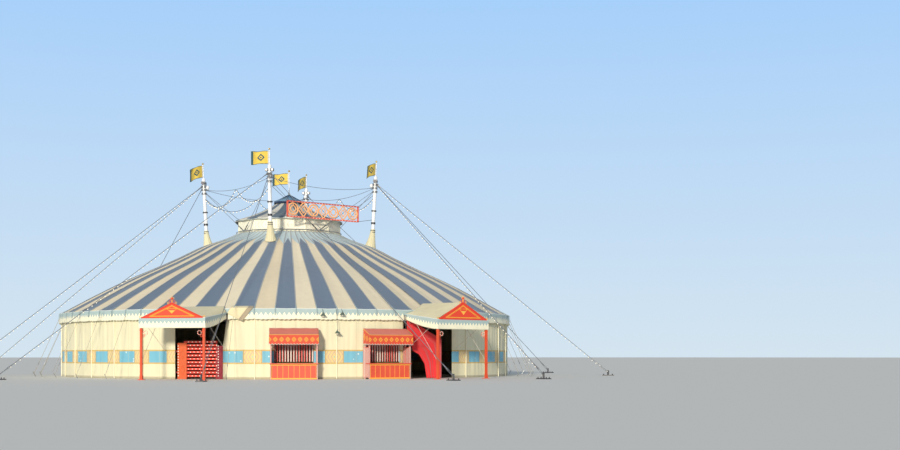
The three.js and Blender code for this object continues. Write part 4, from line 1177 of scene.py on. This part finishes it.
shape = bmesh.new()
y = -SIGN_DISTANCE
box(shape, (-SIGN_HALF, y - 0.05, SIGN_LOW), (SIGN_HALF, y + 0.05, SIGN_LOW + 0.1))
box(shape, (-SIGN_HALF, y - 0.05, SIGN_HIGH - 0.1), (SIGN_HALF, y + 0.05, SIGN_HIGH - 0.03))
box(shape, (-SIGN_HALF, y - 0.055, SIGN_HIGH - 0.03), (SIGN_HALF, y + 0.055, SIGN_HIGH), 2)
for x in (-SIGN_HALF, SIGN_HALF - 0.1):
    box(shape, (x, y - 0.05, SIGN_LOW), (x + 0.1, y + 0.05, SIGN_HIGH - 0.03))
pitch = (2 * SIGN_HALF - 0.2) / SIGN_MOTIFS
middle = (SIGN_LOW + SIGN_HIGH) / 2
for i in range(SIGN_MOTIFS):
    x = -SIGN_HALF + 0.1 + pitch * (i + 0.5)
    centre = Vector((x, y, middle))
    if i % 2 == 0:
        hoop(shape, centre, Vector((0, 1, 0)), pitch / 2 - 0.03, 0.06, 1, 32)
        hoop(shape, centre, Vector((0, 1, 0)), pitch / 4, 0.045, 1, 24)
        for turn in range(4):
            way = Vector((math.sin(turn * math.pi / 2), 0, math.cos(turn * math.pi / 2)))
            rod(shape, centre + way * pitch / 4, centre + way * (pitch / 2 - 0.03), SIGN_THIN_TUBE,
                skin=1)
        continue
    tall = (SIGN_HIGH - SIGN_LOW) / 2 - 0.08
    for turn in (-1, 1):
        tip = centre + Vector((turn * pitch / 2, 0, 0))
        inner = centre + Vector((turn * pitch / 4, 0, 0))
        for end in (-1, 1):
            rod(shape, centre + UP * (end * tall), tip, SIGN_TUBE, skin=1)
            rod(shape, centre + UP * (end * tall / 2), inner, SIGN_THIN_TUBE, skin=1)
for i in range(SIGN_LAMPS):
    x = -SIGN_HALF + 0.1 + (2 * SIGN_HALF - 0.2) * (i + 0.5) / SIGN_LAMPS
    for z in (SIGN_LOW + 0.05, SIGN_HIGH - 0.065):
        ball(shape, Vector((x, y - 0.06, z)), 0.024, 3, 8)
fit_up("roof_sign_frame", shape, [sign_red, sign_orange, sign_purple, lamp_glass],
       SIGN_AZIMUTH, ["roof_sign"])
sign_turn = Matrix.Rotation(math.radians(SIGN_AZIMUTH), 3, "Z")
ropes = []
for turn, side in ((-1, "front"), (1, "right")):
    for at, height in ((SIGN_HIGH - 0.05, 14.25), (SIGN_LOW + 0.05, 12.25)):
        corner = sign_turn @ Vector((turn * (SIGN_HALF - 0.05), y, at))
        ropes.append([corner, mast_point(side, height)])
wires("sign_ropes", ropes, 0.018, wire)


# Eave frame. Cream side poles on small foot plates stand all round and carry a white
# hoop of box section that the roof and the side wall are laced to.
HOOP_INNER, HOOP_OUTER = 17.221, 17.301
HOOP_LOW, HOOP_HIGH = 4.606, 4.676
POLE_STEP = 9
FIRST_POLE = -40.5
DOORWAY_POLES = (1.5, 10.5, 28.5, 46.5, 64.5)
pole_cream = enamel("pole_cream", (0.93, 0.88, 0.66), 0.45, 0.1)
pole_line = (HOOP_INNER + HOOP_OUTER) / 2
for side, azimuth in MAST_AZIMUTHS.items():
    shape = bmesh.new()
    section = [shape.verts.new(polar(r, azimuth - 45, z)) for r, z in (
        (HOOP_INNER, HOOP_LOW), (HOOP_OUTER, HOOP_LOW), (HOOP_OUTER, HOOP_HIGH),
        (HOOP_INNER, HOOP_HIGH))]
    end = shape.faces.new(section)
    bmesh.ops.spin(shape, geom=[end], cent=(0, 0, 0), axis=(0, 0, 1), angle=math.radians(90), steps=40)
    bmesh.ops.recalc_face_normals(shape, faces=shape.faces)
    coat(shape.faces, 0)
    for k in range(10):
        facing = azimuth + FIRST_POLE + POLE_STEP * k
        if facing in DOORWAY_POLES:
            continue
        rod(shape, polar(pole_line, facing, 0.01), polar(pole_line, facing, HOOP_LOW + 0.02), 0.034,
            sides=16, skin=2)
        box(shape, (-0.09, -pole_line - 0.035, 0), (0.09, -pole_line + 0.035, 0.015), 1, facing)
        rod(shape, polar(pole_line, facing, HOOP_LOW - 0.12), polar(pole_line, facing, HOOP_LOW),
            0.039, sides=16, skin=1)
    fit_up(f"eave_poles_{side}", shape, [white_enamel, zinc, pole_cream],
           stands_for=[f"eave_frame_{side}"])


# Porches. Each has a painted gable board on two red posts, canvas drawn back from it over
# the eave, and a toothed skirt that narrows towards the tent. The main one sags low.
PORCHES = {
    "entrance": {"azimuth": 6.1, "gable_rise": 1.0, "ridge_front": 4.58, "ridge_back": 4.82, "steep": 8},
    "side": {"azimuth": 61, "gable_rise": 1.22, "ridge_front": 5.14, "ridge_back": 5.18, "steep": 1},
}
PORCH_HALF = 2.27
GABLE_Y = -20.75
PORCH_BACK_Y = -17.32
PORCH_EAVE_Z = 3.95
PORCH_BACK_Z = 4.38
SKIRT_DROP, SKIRT_BACK_FOOT = 0.63, 4.06
POST_WIDTH = 0.14
TOOTH = 0.27
PORCH_BRACES = (((-17.35, 1.95), (-20.6, 3.9)), ((-20.6, 1.22), (-18.3, 3.85)))
post_red = enamel("post_red", (0.80, 0.10, 0.035), 0.35, 0.2)
gable_red = enamel("gable_red", (0.84, 0.07, 0.03), 0.4, 0.12)
gable_yellow = enamel("gable_yellow", (0.95, 0.50, 0.08), 0.4, 0.12)
guy_cord = enamel("guy_cord", (0.72, 0.69, 0.60), 0.85, 0.2)
porch_canvas = plain_canvas("porch_canvas", (0.94, 0.84, 0.53), 0.2, 0.65)


def plate(shape, corners, way, skin=0):
    """A flat board with the given corners, as thick as way is long."""
    before = set(shape.faces)
    first = shape.faces.new([shape.verts.new(corner) for corner in corners])
    made = bmesh.ops.extrude_face_region(shape, geom=[first])
    slide(shape, made, way)
    board = [face for face in shape.faces if face not in before]
    bmesh.ops.recalc_face_normals(shape, faces=board)
    coat(board, skin, False)


def closed_line(shape, points, radius, skin):
    """A thin moulding round a closed outline."""
    for low, high in zip(points, points[1:] + points[:1]):
        rod(shape, low, high, radius, sides=4, skin=skin)
        ball(shape, high, radius, skin, 6)


def porch_edge(y):
    """Height of the canvas's side edge, which climbs from the gable to the eave."""
    return PORCH_EAVE_Z + (PORCH_BACK_Z - PORCH_EAVE_Z) * (y - GABLE_Y) / (PORCH_BACK_Y - GABLE_Y)


def porch_frame(name, azimuth):
    shape = bmesh.new()
    facing = Vector((0, 1, 0))
    for end in (-1, 1):
        x = end * (PORCH_HALF - 0.1)
        y = GABLE_Y + 0.02
        box(shape, (x - POST_WIDTH / 2, y, 0), (x + POST_WIDTH / 2, y + POST_WIDTH, PORCH_EAVE_Z))
        box(shape, (x - 0.19, y - 0.07, 0), (x + 0.19, y + 0.28, 0.04))
        for a in (-0.13, 0.13):
            bolt = Vector((x + a, y + 0.07, 0.04))
            rod(shape, bolt, bolt + UP * 0.03, 0.022, sides=6, skin=1)
        for low, high in ((0.04, 0.3), (1.0, 1.08), (3.16, 3.24)):
            box(shape, (x - 0.085, y - 0.015, low), (x + 0.085, y + POST_WIDTH + 0.015, high))
        rail = [Vector((x - POST_WIDTH / 2, a, porch_edge(a) - drop)) for a, drop in (
            (y + 0.08, 0.1), (PORCH_BACK_Y, 0.1), (PORCH_BACK_Y, 0.004), (y + 0.08, 0.004))]
        plate(shape, rail, Vector((POST_WIDTH, 0, 0)))
        hub = Vector((x - end * 0.3, y + 0.07, 3.02))
        hoop(shape, hub, facing, 0.13, 0.02, steps=20)
        hoop(shape, hub + Vector((end * 0.13, 0, -0.2)), facing, 0.07, 0.016, steps=16)
        rod(shape, hub + Vector((end * 0.13, 0, 0)), hub + Vector((end * 0.28, 0, 0.22)), 0.02)
        for i in range(7):
            turn = 2 * math.pi * i / 7
            ball(shape, hub + Vector((0.13 * math.cos(turn), -0.03, 0.13 * math.sin(turn))), 0.024, 2, 8)
    box(shape, (-PORCH_HALF + 0.1, GABLE_Y + 0.03, PORCH_EAVE_Z - 0.1),
        (PORCH_HALF - 0.1, GABLE_Y + 0.13, PORCH_EAVE_Z))
    fit_up(f"{name}_porch_posts", shape, [post_red, zinc, lamp_glass], azimuth,
           [f"{name}_frame"])


def gable_board(name, azimuth, rise):
    """A board with a raised rim, nested yellow triangles, a small one inverted, and a finial."""
    shape = bmesh.new()
    foot = PORCH_EAVE_Z + 0.001
    corners = [Vector((-PORCH_HALF, GABLE_Y, foot)), Vector((PORCH_HALF, GABLE_Y, foot)),
               Vector((0, GABLE_Y, foot + rise))]
    plate(shape, corners, Vector((0, 0.06, 0)))
    heart = Vector((0, GABLE_Y, foot + rise * 0.36))
    for share, radius, skin in ((0.93, 0.035, 0), (0.68, 0.024, 1), (0.60, 0.012, 1)):
        ring = [heart + (corner - heart) * share - Vector((0, 0.01, 0)) for corner in corners]
        closed_line(shape, ring, radius, skin)
    small = [Vector((a, GABLE_Y - 0.012, foot + rise * b)) for a, b in (
        (-0.34, 0.60), (0.34, 0.60), (0, 0.30))]
    closed_line(shape, small, 0.018, 1)
    plate(shape, [small[0].lerp(small[2], 0.35), small[1].lerp(small[2], 0.35), small[2]],
          Vector((0, 0.012, 0)), 1)
    facing = Vector((0, 1, 0))
    top = Vector((0, GABLE_Y + 0.03, foot + rise))
    rod(shape, top - UP * 0.1, top + UP * 0.2, 0.03, skin=1)
    ball(shape, top + UP * 0.24, 0.08, 0, 16)
    rod(shape, top + UP * 0.3, top + UP * 0.46, 0.03, 0.004, skin=1)
    for end in (-1, 1):
        hoop(shape, top + Vector((end * 0.13, 0, 0.06)), facing, 0.075, 0.018, 0, 16)
        hoop(shape, top + Vector((end * 0.27, 0, -0.04)), facing, 0.06, 0.015, 1, 16)
        hoop(shape, top + Vector((end * 0.1, 0, 0.26)), facing, 0.045, 0.012, 1, 14)
        hoop(shape, Vector((end * (PORCH_HALF - 0.06), top.y, foot + 0.1)), facing, 0.06, 0.016, 1, 16)
    fit_up(f"{name}_gable_board", shape, [gable_red, gable_yellow], azimuth,
           [f"{name}_gable"])


def meeting_radius(height):
    """The radius at which the roof has come down to a height, or just past the valance."""
    if height < EAVE_Z:
        return VALANCE_R + 0.03
    near, far = RING_R, EAVE_R
    for _ in range(40):
        half_way = (near + far) / 2
        if roof_height(half_way) > height:
            near = half_way
        else:
            far = half_way
    return far


def porch_cloth(name, azimuth, ridge_front, ridge_back, steep):
    """Two slack slopes from the gable to the big roof. The rear edge lies on that roof and
    climbs from the sides to the ridge, the sooner the greater steep is."""
    def place(across, back):
        side_share = across * 2 - 1
        up = 1 - abs(side_share)
        front_z = PORCH_EAVE_Z + 0.05 + (ridge_front - PORCH_EAVE_Z - 0.05) * up
        back_z = PORCH_BACK_Z + (ridge_back - PORCH_BACK_Z) * min(1, up * steep)
        x = side_share * (PORCH_HALF + 0.02)
        back_y = -math.sqrt((meeting_radius(back_z) + 0.05) ** 2 - x ** 2)
        y = GABLE_Y + 0.05 + (back_y - GABLE_Y - 0.05) * back
        slack = 0.05 * math.sin(math.pi * up) + 0.08 * (1 - up) ** 2
        z = front_z + (back_z - front_z) * back - slack * math.sin(math.pi * back)
        if math.hypot(x, y) < EAVE_R:
            z = max(z, roof_height(math.hypot(x, y)) + 0.02)
        return Vector((x, y, z + 0.012 * noise.noise(Vector((x * 1.6, y * 1.6, 4.0)))))

    shape = bmesh.new()
    cloth_grid(shape, 64, 36, place)
    cloth = fit_up(f"{name}_porch_cloth", shape, [porch_canvas], azimuth,
                   [f"{name}_canopy"])
    thicken(cloth, 0.003)
    deep = (-GABLE_Y - meeting_radius(ridge_back)) * HALF


def skirt_round(shape, half, front_y, back_y, top_at, foot_at, tooth, columns, wave=0.02, scallop=0):
    """A strip hung round a front and two returns, whose top and foot heights depend on the
    share of the way back; the map has a unit to each tooth. Gives the strip's whole run."""
    deep = back_y - front_y
    run = 2 * deep + 2 * half

    def place(along, up):
        at = along * run
        if at < deep:
            x, y, out, back = -half, back_y - at, Vector((-1, 0, 0)), 1 - at / deep
        elif at > deep + 2 * half:
            past = at - deep - 2 * half
            x, y, out, back = half, front_y + past, Vector((1, 0, 0)), past / deep
        else:
            x, y, out, back = at - deep - half, front_y, Vector((0, -1, 0)), 0
        top, foot = top_at(back), foot_at(back)
        bulge = wave * (1 - up) * (0.4 + noise.noise(Vector((at * 1.7, up, half))))
        lift = scallop * (1 - abs(math.sin(math.pi * at / tooth))) * max(0.0, 1 - up * 6)
        return Vector((x, y, foot + (top - foot) * up + lift)) + out * bulge

    cloth_grid(shape, columns, 10, place, (run / tooth, 1))
    return run


for name, porch in PORCHES.items():
    azimuth = porch["azimuth"]
    porch_frame(name, azimuth)
    gable_board(name, azimuth, porch["gable_rise"])
    porch_cloth(name, azimuth, porch["ridge_front"], porch["ridge_back"], porch["steep"])
    shape = bmesh.new()
    front_foot = PORCH_EAVE_Z - SKIRT_DROP
    run = skirt_round(
        shape, PORCH_HALF + 0.025, GABLE_Y - 0.02, PORCH_BACK_Y,
        lambda back: PORCH_EAVE_Z + 0.04 + (PORCH_BACK_Z - PORCH_EAVE_Z) * back,
        lambda back: front_foot + (SKIRT_BACK_FOOT - front_foot) * back ** 1.6, TOOTH, 220, 0.03)
    cloth = fit_up(f"{name}_porch_skirt", shape, [valance_canvas], azimuth,
                   [f"{name}_valance"])
    thicken(cloth, 0.002)
    round(run * HALF, 2)

    turn = Matrix.Rotation(math.radians(azimuth), 3, "Z")
    braces, ties = [], []
    for end in (-1, 1):
        x = end * (PORCH_HALF - 0.1)
        for low, high in PORCH_BRACES:
            braces.append([turn @ Vector((x, *low)), turn @ Vector((x, *high))])
        for k in range(3):
            top = Vector((end * (PORCH_HALF + 0.05), PORCH_BACK_Y - 0.1 * k, PORCH_BACK_Z - 0.05))
            ties.append([turn @ top, turn @ (top - Vector((0.03 * k, 0.02, 0.55 + 0.17 * k)))])
    wires(f"{name}_porch_braces", braces, 0.012, guy_cord)
    wires(f"{name}_porch_ties", ties, 0.014, dark_steel)


# Rain flap. A loose corner of cream canvas hangs over the eave beside the main porch,
# its right part folded back and painted dark brown as painted shade.
RAIN_FLAP = {"top_left": (14.4, 4.73), "top_right": (19.3, 4.73), "tip": (16.95, 3.82),
             "left": (13.76, 4.35)}
FLAP_FOLD = 0.71
FLAP_EAVE = 0.9


def rain_flap(across, up):
    foot = [a + (b - a) * across for a, b in zip(RAIN_FLAP["left"], RAIN_FLAP["tip"])]
    head = [a + (b - a) * across for a, b in zip(RAIN_FLAP["top_left"], RAIN_FLAP["top_right"])]
    facing, height = [low + (high - low) * min(1, up / FLAP_EAVE) for low, high in zip(foot, head)]
    fold = 0.55 * max(0.0, across - 0.7) * math.sin(math.pi * min(1.0, up / FLAP_EAVE) * 0.8 + 0.6)
    reach = EAVE_R + 0.16 - 0.08 * up - fold
    if up > FLAP_EAVE:
        reach = EAVE_R + 0.06 - 3.5 * (up - FLAP_EAVE)
        height = roof_height(min(reach, EAVE_R)) + 0.04
    return polar(max(reach, VALANCE_R + 0.04) if up < FLAP_EAVE else reach, facing, height)


shape = bmesh.new()
cloth_grid(shape, 24, 30, rain_flap)
apron_canvas = plain_canvas("apron_canvas", (0.92, 0.80, 0.50), 0.14, 0.65)
# Painted shade: the dark brown canvas stands for the same cream cloth where the fold lies in shade.
apron_fold_shade = plain_canvas("apron_fold_shade", (0.47, 0.39, 0.27), 0.14, 0.65)
map_of = shape.loops.layers.uv["cloth"]
# Faces past FLAP_FOLD take the dark brown canvas, the painted shade of the fold.
for face in shape.faces:
    face.material_index = int(face.loops[0][map_of].uv.x > FLAP_FOLD)
cloth = fit_up("rain_flap", shape, [apron_canvas, apron_fold_shade])
thicken(cloth, 0.003)


# Entrance barrier. Lamp-studded red slats on three uprights close the lower doorway
# between an orange board and a crimson one darkened as painted shade, with struts out
# to the wall.
BARRIER_Y = -16.95
SLAT_COUNT, SLAT_PITCH, SLAT_FOOT, SLAT_HEIGHT = 11, 0.226, 0.15, 0.13
SLAT_FROM, SLAT_TO = -0.98, 1.42
BARRIER_BOARDS = ((-1.41, -0.76, 2.41), (1.38, 1.85, 2.21))
BARRIER_STRUTS = ((-1.4, -1.76), (1.84, 2.16))
BARRIER_POSTS = (-0.9, 0.22, 1.34)


def boards(name, colour, roughness=0.5):
    """Painted timber: tone that changes from board to board, fine grain, dull worn spots."""
    made, tree, paint = material(name)
    where, _ = place_of(tree)
    toned(tree, paint, colour, spread(tree, cloud(tree, where, 2.4, 5.0), 0.78, 1.08))
    link(tree, spread(tree, cloud(tree, where, 14.0), roughness - 0.1, roughness + 0.2),
         paint.inputs["Roughness"])
    roughen(tree, paint, cloud(tree, where, 40.0, 3.0, (1, 1, 0.08)), 0.35, 0.003)
    return made


slat_red = boards("slat_red", (0.78, 0.06, 0.035))
frame_red = boards("frame_red", (0.30, 0.025, 0.03), 0.6)
board_orange = boards("board_orange", (0.72, 0.125, 0.03))
# Painted shade: the right board's dark crimson is red paint darkened for a side in shade.
board_crimson_shade = boards("board_crimson_shade", (0.27, 0.012, 0.03))
shape = bmesh.new()
slat_top = SLAT_FOOT + SLAT_PITCH * (SLAT_COUNT - 1) + SLAT_HEIGHT
for i in range(SLAT_COUNT):
    z = SLAT_FOOT + SLAT_PITCH * i
    box(shape, (SLAT_FROM, BARRIER_Y, z), (SLAT_TO, BARRIER_Y + 0.04, z + SLAT_HEIGHT))
    for k in range(8):
        x = SLAT_FROM + 0.36 + (k + 0.5 * (i % 2)) * 0.27
        lamp = Vector((x, BARRIER_Y - 0.012, z + SLAT_HEIGHT / 2))
        rod(shape, lamp + Vector((0, 0.02, 0)), lamp - Vector((0, 0.012, 0)), 0.03, sides=10, skin=1)
        ball(shape, lamp - Vector((0, 0.03, 0)), 0.034, 4, 10)
for x in BARRIER_POSTS:
    box(shape, (x - 0.04, BARRIER_Y + 0.03, 0), (x + 0.04, BARRIER_Y + 0.11, slat_top), 1)
    box(shape, (x - 0.04, BARRIER_Y + 0.1, 0), (x + 0.04, BARRIER_Y + 0.7, 0.06), 1)
    for i in range(SLAT_COUNT):
        screw = Vector((x, BARRIER_Y - 0.004, SLAT_FOOT + SLAT_PITCH * i + SLAT_HEIGHT * 0.8))
        rod(shape, screw + Vector((0, 0.01, 0)), screw - Vector((0, 0.004, 0)), 0.012, sides=6, skin=5)
# Skin 3, the right board, is the crimson darkened as painted shade.
for skin, lamps_in, (low, high, top) in zip((2, 3), (0.06, 0.15), BARRIER_BOARDS):
    box(shape, (low, BARRIER_Y - 0.05, 0), (high, BARRIER_Y + 0.01, top), skin)
    for z in (0.04, 1.06, top - 0.1):
        box(shape, (low - 0.012, BARRIER_Y - 0.065, z), (high + 0.012, BARRIER_Y - 0.05, z + 0.06), skin)
    for k in range(12):
        ball(shape, Vector((low + lamps_in, BARRIER_Y - 0.075, 0.22 + 0.18 * k)), 0.036, 4, 10)
    for z in (0.58, 1.66):
        middle = Vector(((low + high) / 2 + 0.04, BARRIER_Y - 0.055, z))
        diamond = [middle + Vector((0.15, 0, 0)), middle + UP * 0.34,
                   middle - Vector((0.15, 0, 0)), middle - UP * 0.34]
        closed_line(shape, diamond, 0.012, skin)
for inner, tip in BARRIER_STRUTS:
    near, far = sorted((tip - math.copysign(0.1, tip), tip))
    box(shape, (near, BARRIER_Y - 0.09, 0), (far, BARRIER_Y + 0.05, 2.2), 1)
    near, far = sorted((inner, tip))
    for z in (0.4, 1.8):
        box(shape, (near, BARRIER_Y - 0.04, z), (far, BARRIER_Y + 0.02, z + 0.1), 1)
fit_up("barrier", shape, [slat_red, frame_red, board_orange, board_crimson_shade, lamp_glass, zinc],
       PORCHES["entrance"]["azimuth"], ["entrance_barrier"])


# Booths. Two stalls against the wall, each with a counter on a boarded front, striped
# cheeks and posts, and a canvas awning with a deep scalloped skirt.
BOOTH_HALF = 1.6
BOOTH_FRONT_Y, BOOTH_BACK_Y = -18.25, -17.5
AWNING_Y = -18.5
AWNING_BACK_Z, AWNING_FRONT_Z, AWNING_FOOT_Z = 3.38, 2.95, 2.26
SCALLOP = 0.2
CHEEK_BACK_Y, COUNTER_BACK_Y, BARS_Y = -17.24, -17.8, -17.08
BAR_COUNT = 15

striped_paint, tree, paint, where, across, _ = mapped("striped_paint")
tint = mixed(tree, across.fraction() < 0.5, (0.82, 0.74, 0.66, 1), (0.72, 0.10, 0.08, 1))
weathered(tree, paint, tint, where, (1, 1, 0.2), 0.15, 0.5)

awning_canvas = plain_canvas("awning_canvas", (0.80, 0.20, 0.15), 0.18, 0.7)
skirt_canvas, tree, paint, where, across, up = mapped("skirt_canvas")
in_one = abs(across.fraction() - 0.5)
foot = (in_one * 2.0).math("POWER", 2.0) * 0.07 + 0.045
lozenge = abs((across * 0.5).fraction() - 0.5) * 0.62 + abs(up - 0.52)
motif = ((lozenge < 0.24) * (lozenge > 0.13)) | (lozenge < 0.06)
dyed = mixed(tree, motif, (0.74, 0.085, 0.035, 1), (0.92, 0.46, 0.06, 1))
dyed = mixed(tree, up < foot, dyed, (0.86, 0.80, 0.72, 1))
dyed = mixed(tree, up > 0.94, dyed, (0.80, 0.40, 0.10, 1))
weathered(tree, paint, dyed, where, (1, 1, 0.3), 0.14, 0.65)

counter_red = boards("counter_red", (0.76, 0.10, 0.05), 0.4)


def awning_edge(back):
    """Height of the awning at a share of the way from its front to the wall."""
    return AWNING_FRONT_Z + (AWNING_BACK_Z - AWNING_FRONT_Z) * back


def striped_board(shape, low, high, pitch, skin):
    """A board whose map runs across its wider upright side, a unit to each stripe pair."""
    before = set(shape.faces)
    box(shape, low, high, skin)
    made = [face for face in shape.faces if face not in before]
    map_of = shape.loops.layers.uv.verify()
    for face in made:
        for loop in face.loops:
            loop[map_of].uv = ((loop.vert.co.x + loop.vert.co.y) / pitch, loop.vert.co.z)


for side, azimuth in BOOTHS.items():
    shape = bmesh.new()
    for end in (-1, 1):
        x = end * (BOOTH_HALF - 0.1)
        for y in (BOOTH_FRONT_Y, BOOTH_BACK_Y - 0.08):
            top = awning_edge((y - AWNING_Y) / (BOOTH_BACK_Y - AWNING_Y)) - 0.06
            striped_board(shape, (x - 0.04, y, 0), (x + 0.04, y + 0.08, top), 0.055, 1)
        striped_board(shape, (x - 0.015, BOOTH_FRONT_Y + 0.02, 0.1), (x + 0.015, CHEEK_BACK_Y, 2.1), 0.16, 1)
        box(shape, (x - 0.022, BOOTH_FRONT_Y + 0.05, 2.08), (x + 0.022, CHEEK_BACK_Y - 0.06, 2.12))
    box(shape, (-BOOTH_HALF + 0.1, BOOTH_FRONT_Y, 0), (BOOTH_HALF - 0.1, BOOTH_FRONT_Y + 0.05, 1.0))
    for k in range(9):
        x = (BOOTH_HALF - 0.16) * (k - 4) / 4
        box(shape, (x - 0.012, BOOTH_FRONT_Y - 0.012, 0.1), (x + 0.012, BOOTH_FRONT_Y, 0.93), 2)
    for z in (0.02, 0.92):
        box(shape, (-BOOTH_HALF + 0.11, BOOTH_FRONT_Y - 0.02, z),
            (BOOTH_HALF - 0.11, BOOTH_FRONT_Y, z + 0.08), 2)
    box(shape, (-BOOTH_HALF + 0.02, BOOTH_FRONT_Y - 0.12, 1.0), (BOOTH_HALF - 0.02, COUNTER_BACK_Y, 1.06))
    for k in range(BAR_COUNT):
        x = 1.25 * (2 * k / (BAR_COUNT - 1) - 1)
        striped_board(shape, (x - 0.05, BARS_Y, 1.15), (x + 0.05, BARS_Y + 0.01, 2.92), 0.2, 1)
    fit_up(f"stall_{side}", shape, [counter_red, striped_paint, gable_yellow],
           azimuth, [f"booth_stall_{side}"])

    shape = bmesh.new()
    cloth_grid(shape, 32, 12, lambda a, b: Vector((
        (a * 2 - 1) * BOOTH_HALF, AWNING_Y + b,
        awning_edge(b) - 0.03 * math.sin(math.pi * b) - 0.012 * abs(math.sin(math.pi * a * 4)))))
    cloth = fit_up(f"awning_top_{side}", shape, [awning_canvas], azimuth,
                   [f"booth_awning_{side}"])
    thicken(cloth, 0.003)

    shape = bmesh.new()
    run = skirt_round(
        shape, BOOTH_HALF + 0.01, AWNING_Y, BOOTH_BACK_Y, awning_edge, lambda back: AWNING_FOOT_Z,
        SCALLOP, 208, 0.015, 0.07)
    cloth = fit_up(f"awning_skirt_{side}", shape, [skirt_canvas], azimuth)
    thicken(cloth, 0.002)
    round(run * HALF, 2)


# Curtain. Heavy red cloth hangs in the side entrance: drawn together to a hook on the
# pole at the left, with its edge cut away above the way in, in a few broad folds.
curtain_cloth, tree, paint = material("curtain_cloth")
where, _ = place_of(tree)
tint = mixed(tree, cloud(tree, where, 1.7), (0.76, 0.014, 0.024, 1), (0.95, 0.036, 0.042, 1))
weathered(tree, paint, tint, where, (1, 1, 0.2), 0.12, 0.8)
paint.inputs["Sheen Weight"].default_value = 0.5
CURTAIN_Y = -17.5
CURTAIN_LEFT = [Vector((x, CURTAIN_Y, z)) for x, z in (
    (-0.45, 0.02), (-0.65, 1.0), (-1.15, 1.65), (-1.7, 1.9), (-2.2, 3.4), (-2.2, 3.96))]
CURTAIN_RIGHT = [Vector((x, CURTAIN_Y, z)) for x, z in ((0.9, 0.02), (0.9, 2.7), (-1.9, 3.98))]
FOLDS = ((0.10, 0.05, 0.09), (0.27, 0.08, 0.10), (0.47, 0.04, 0.06), (0.62, 0.09, 0.09),
         (0.86, 0.06, 0.08))


def along_line(points, share):
    """A point at a share of the whole length of a line."""
    lengths = [(b - a).length for a, b in zip(points, points[1:])]
    due = share * sum(lengths)
    for low, high, length in zip(points, points[1:], lengths):
        if due <= length:
            return low.lerp(high, due / length)
        due -= length
    return points[-1].copy()


def curtain(across, up):
    point = along_line(CURTAIN_LEFT, up).lerp(along_line(CURTAIN_RIGHT, up), across)
    drift = 0.05 * math.sin(3.1 * up + 4 * across) + 0.03 * noise.noise(Vector((across * 3, up * 2.4, 5)))
    for at, deep, wide in FOLDS:
        point.y -= deep * (1.2 - up) * math.exp(-(((across + drift - at) / wide) ** 2) * 2)
    ripple = noise.noise(Vector((across * 6, up * 1.5, 8.0)))
    point.y += 0.05 + 0.035 * ripple * (1 - up * 0.6)
    return point


shape = bmesh.new()
cloth_grid(shape, 132, 72, curtain)
cloth = fit_up("curtain", shape, [curtain_cloth], PORCHES["side"]["azimuth"],
               ["side_curtain"])
thicken(cloth, 0.003)

shape = bmesh.new()
hook = Vector((-1.95, CURTAIN_Y, 3.83))
rod(shape, hook + Vector((0.3, 0.3, 0)), hook - Vector((0, 0.02, 0)), 0.02)
hoop(shape, hook - Vector((0, 0.02, 0.05)), Vector((1, 0, 0)), 0.06, 0.012)
fit_up("curtain_hook", shape, [zinc], PORCHES["side"]["azimuth"])


# Wall lamps. Three enamelled shades hang on wires from the eave between the booths.
WALL_LAMPS = ((34.2, 4.42), (38.4, 4.48), (37.3, 3.27))
shade_green = enamel("shade_green", (0.12, 0.16, 0.12), 0.35, 0.2)
shape = bmesh.new()
for facing, height in WALL_LAMPS:
    crown = polar(VALANCE_R + 0.28, facing, height)
    rod(shape, polar(VALANCE_R + 0.03, facing, EAVE_Z), crown, 0.01, sides=6, skin=1)
    rod(shape, crown - UP * 0.08, crown + UP * 0.02, 0.045, 0.03, sides=12)
    rod(shape, crown - UP * 0.24, crown - UP * 0.07, 0.2, 0.05, sides=24)
    ball(shape, crown - UP * 0.24, 0.06, 2, 12)
fit_up("wall_lamps", shape, [shade_green, cable_rubber, lamp_glass])
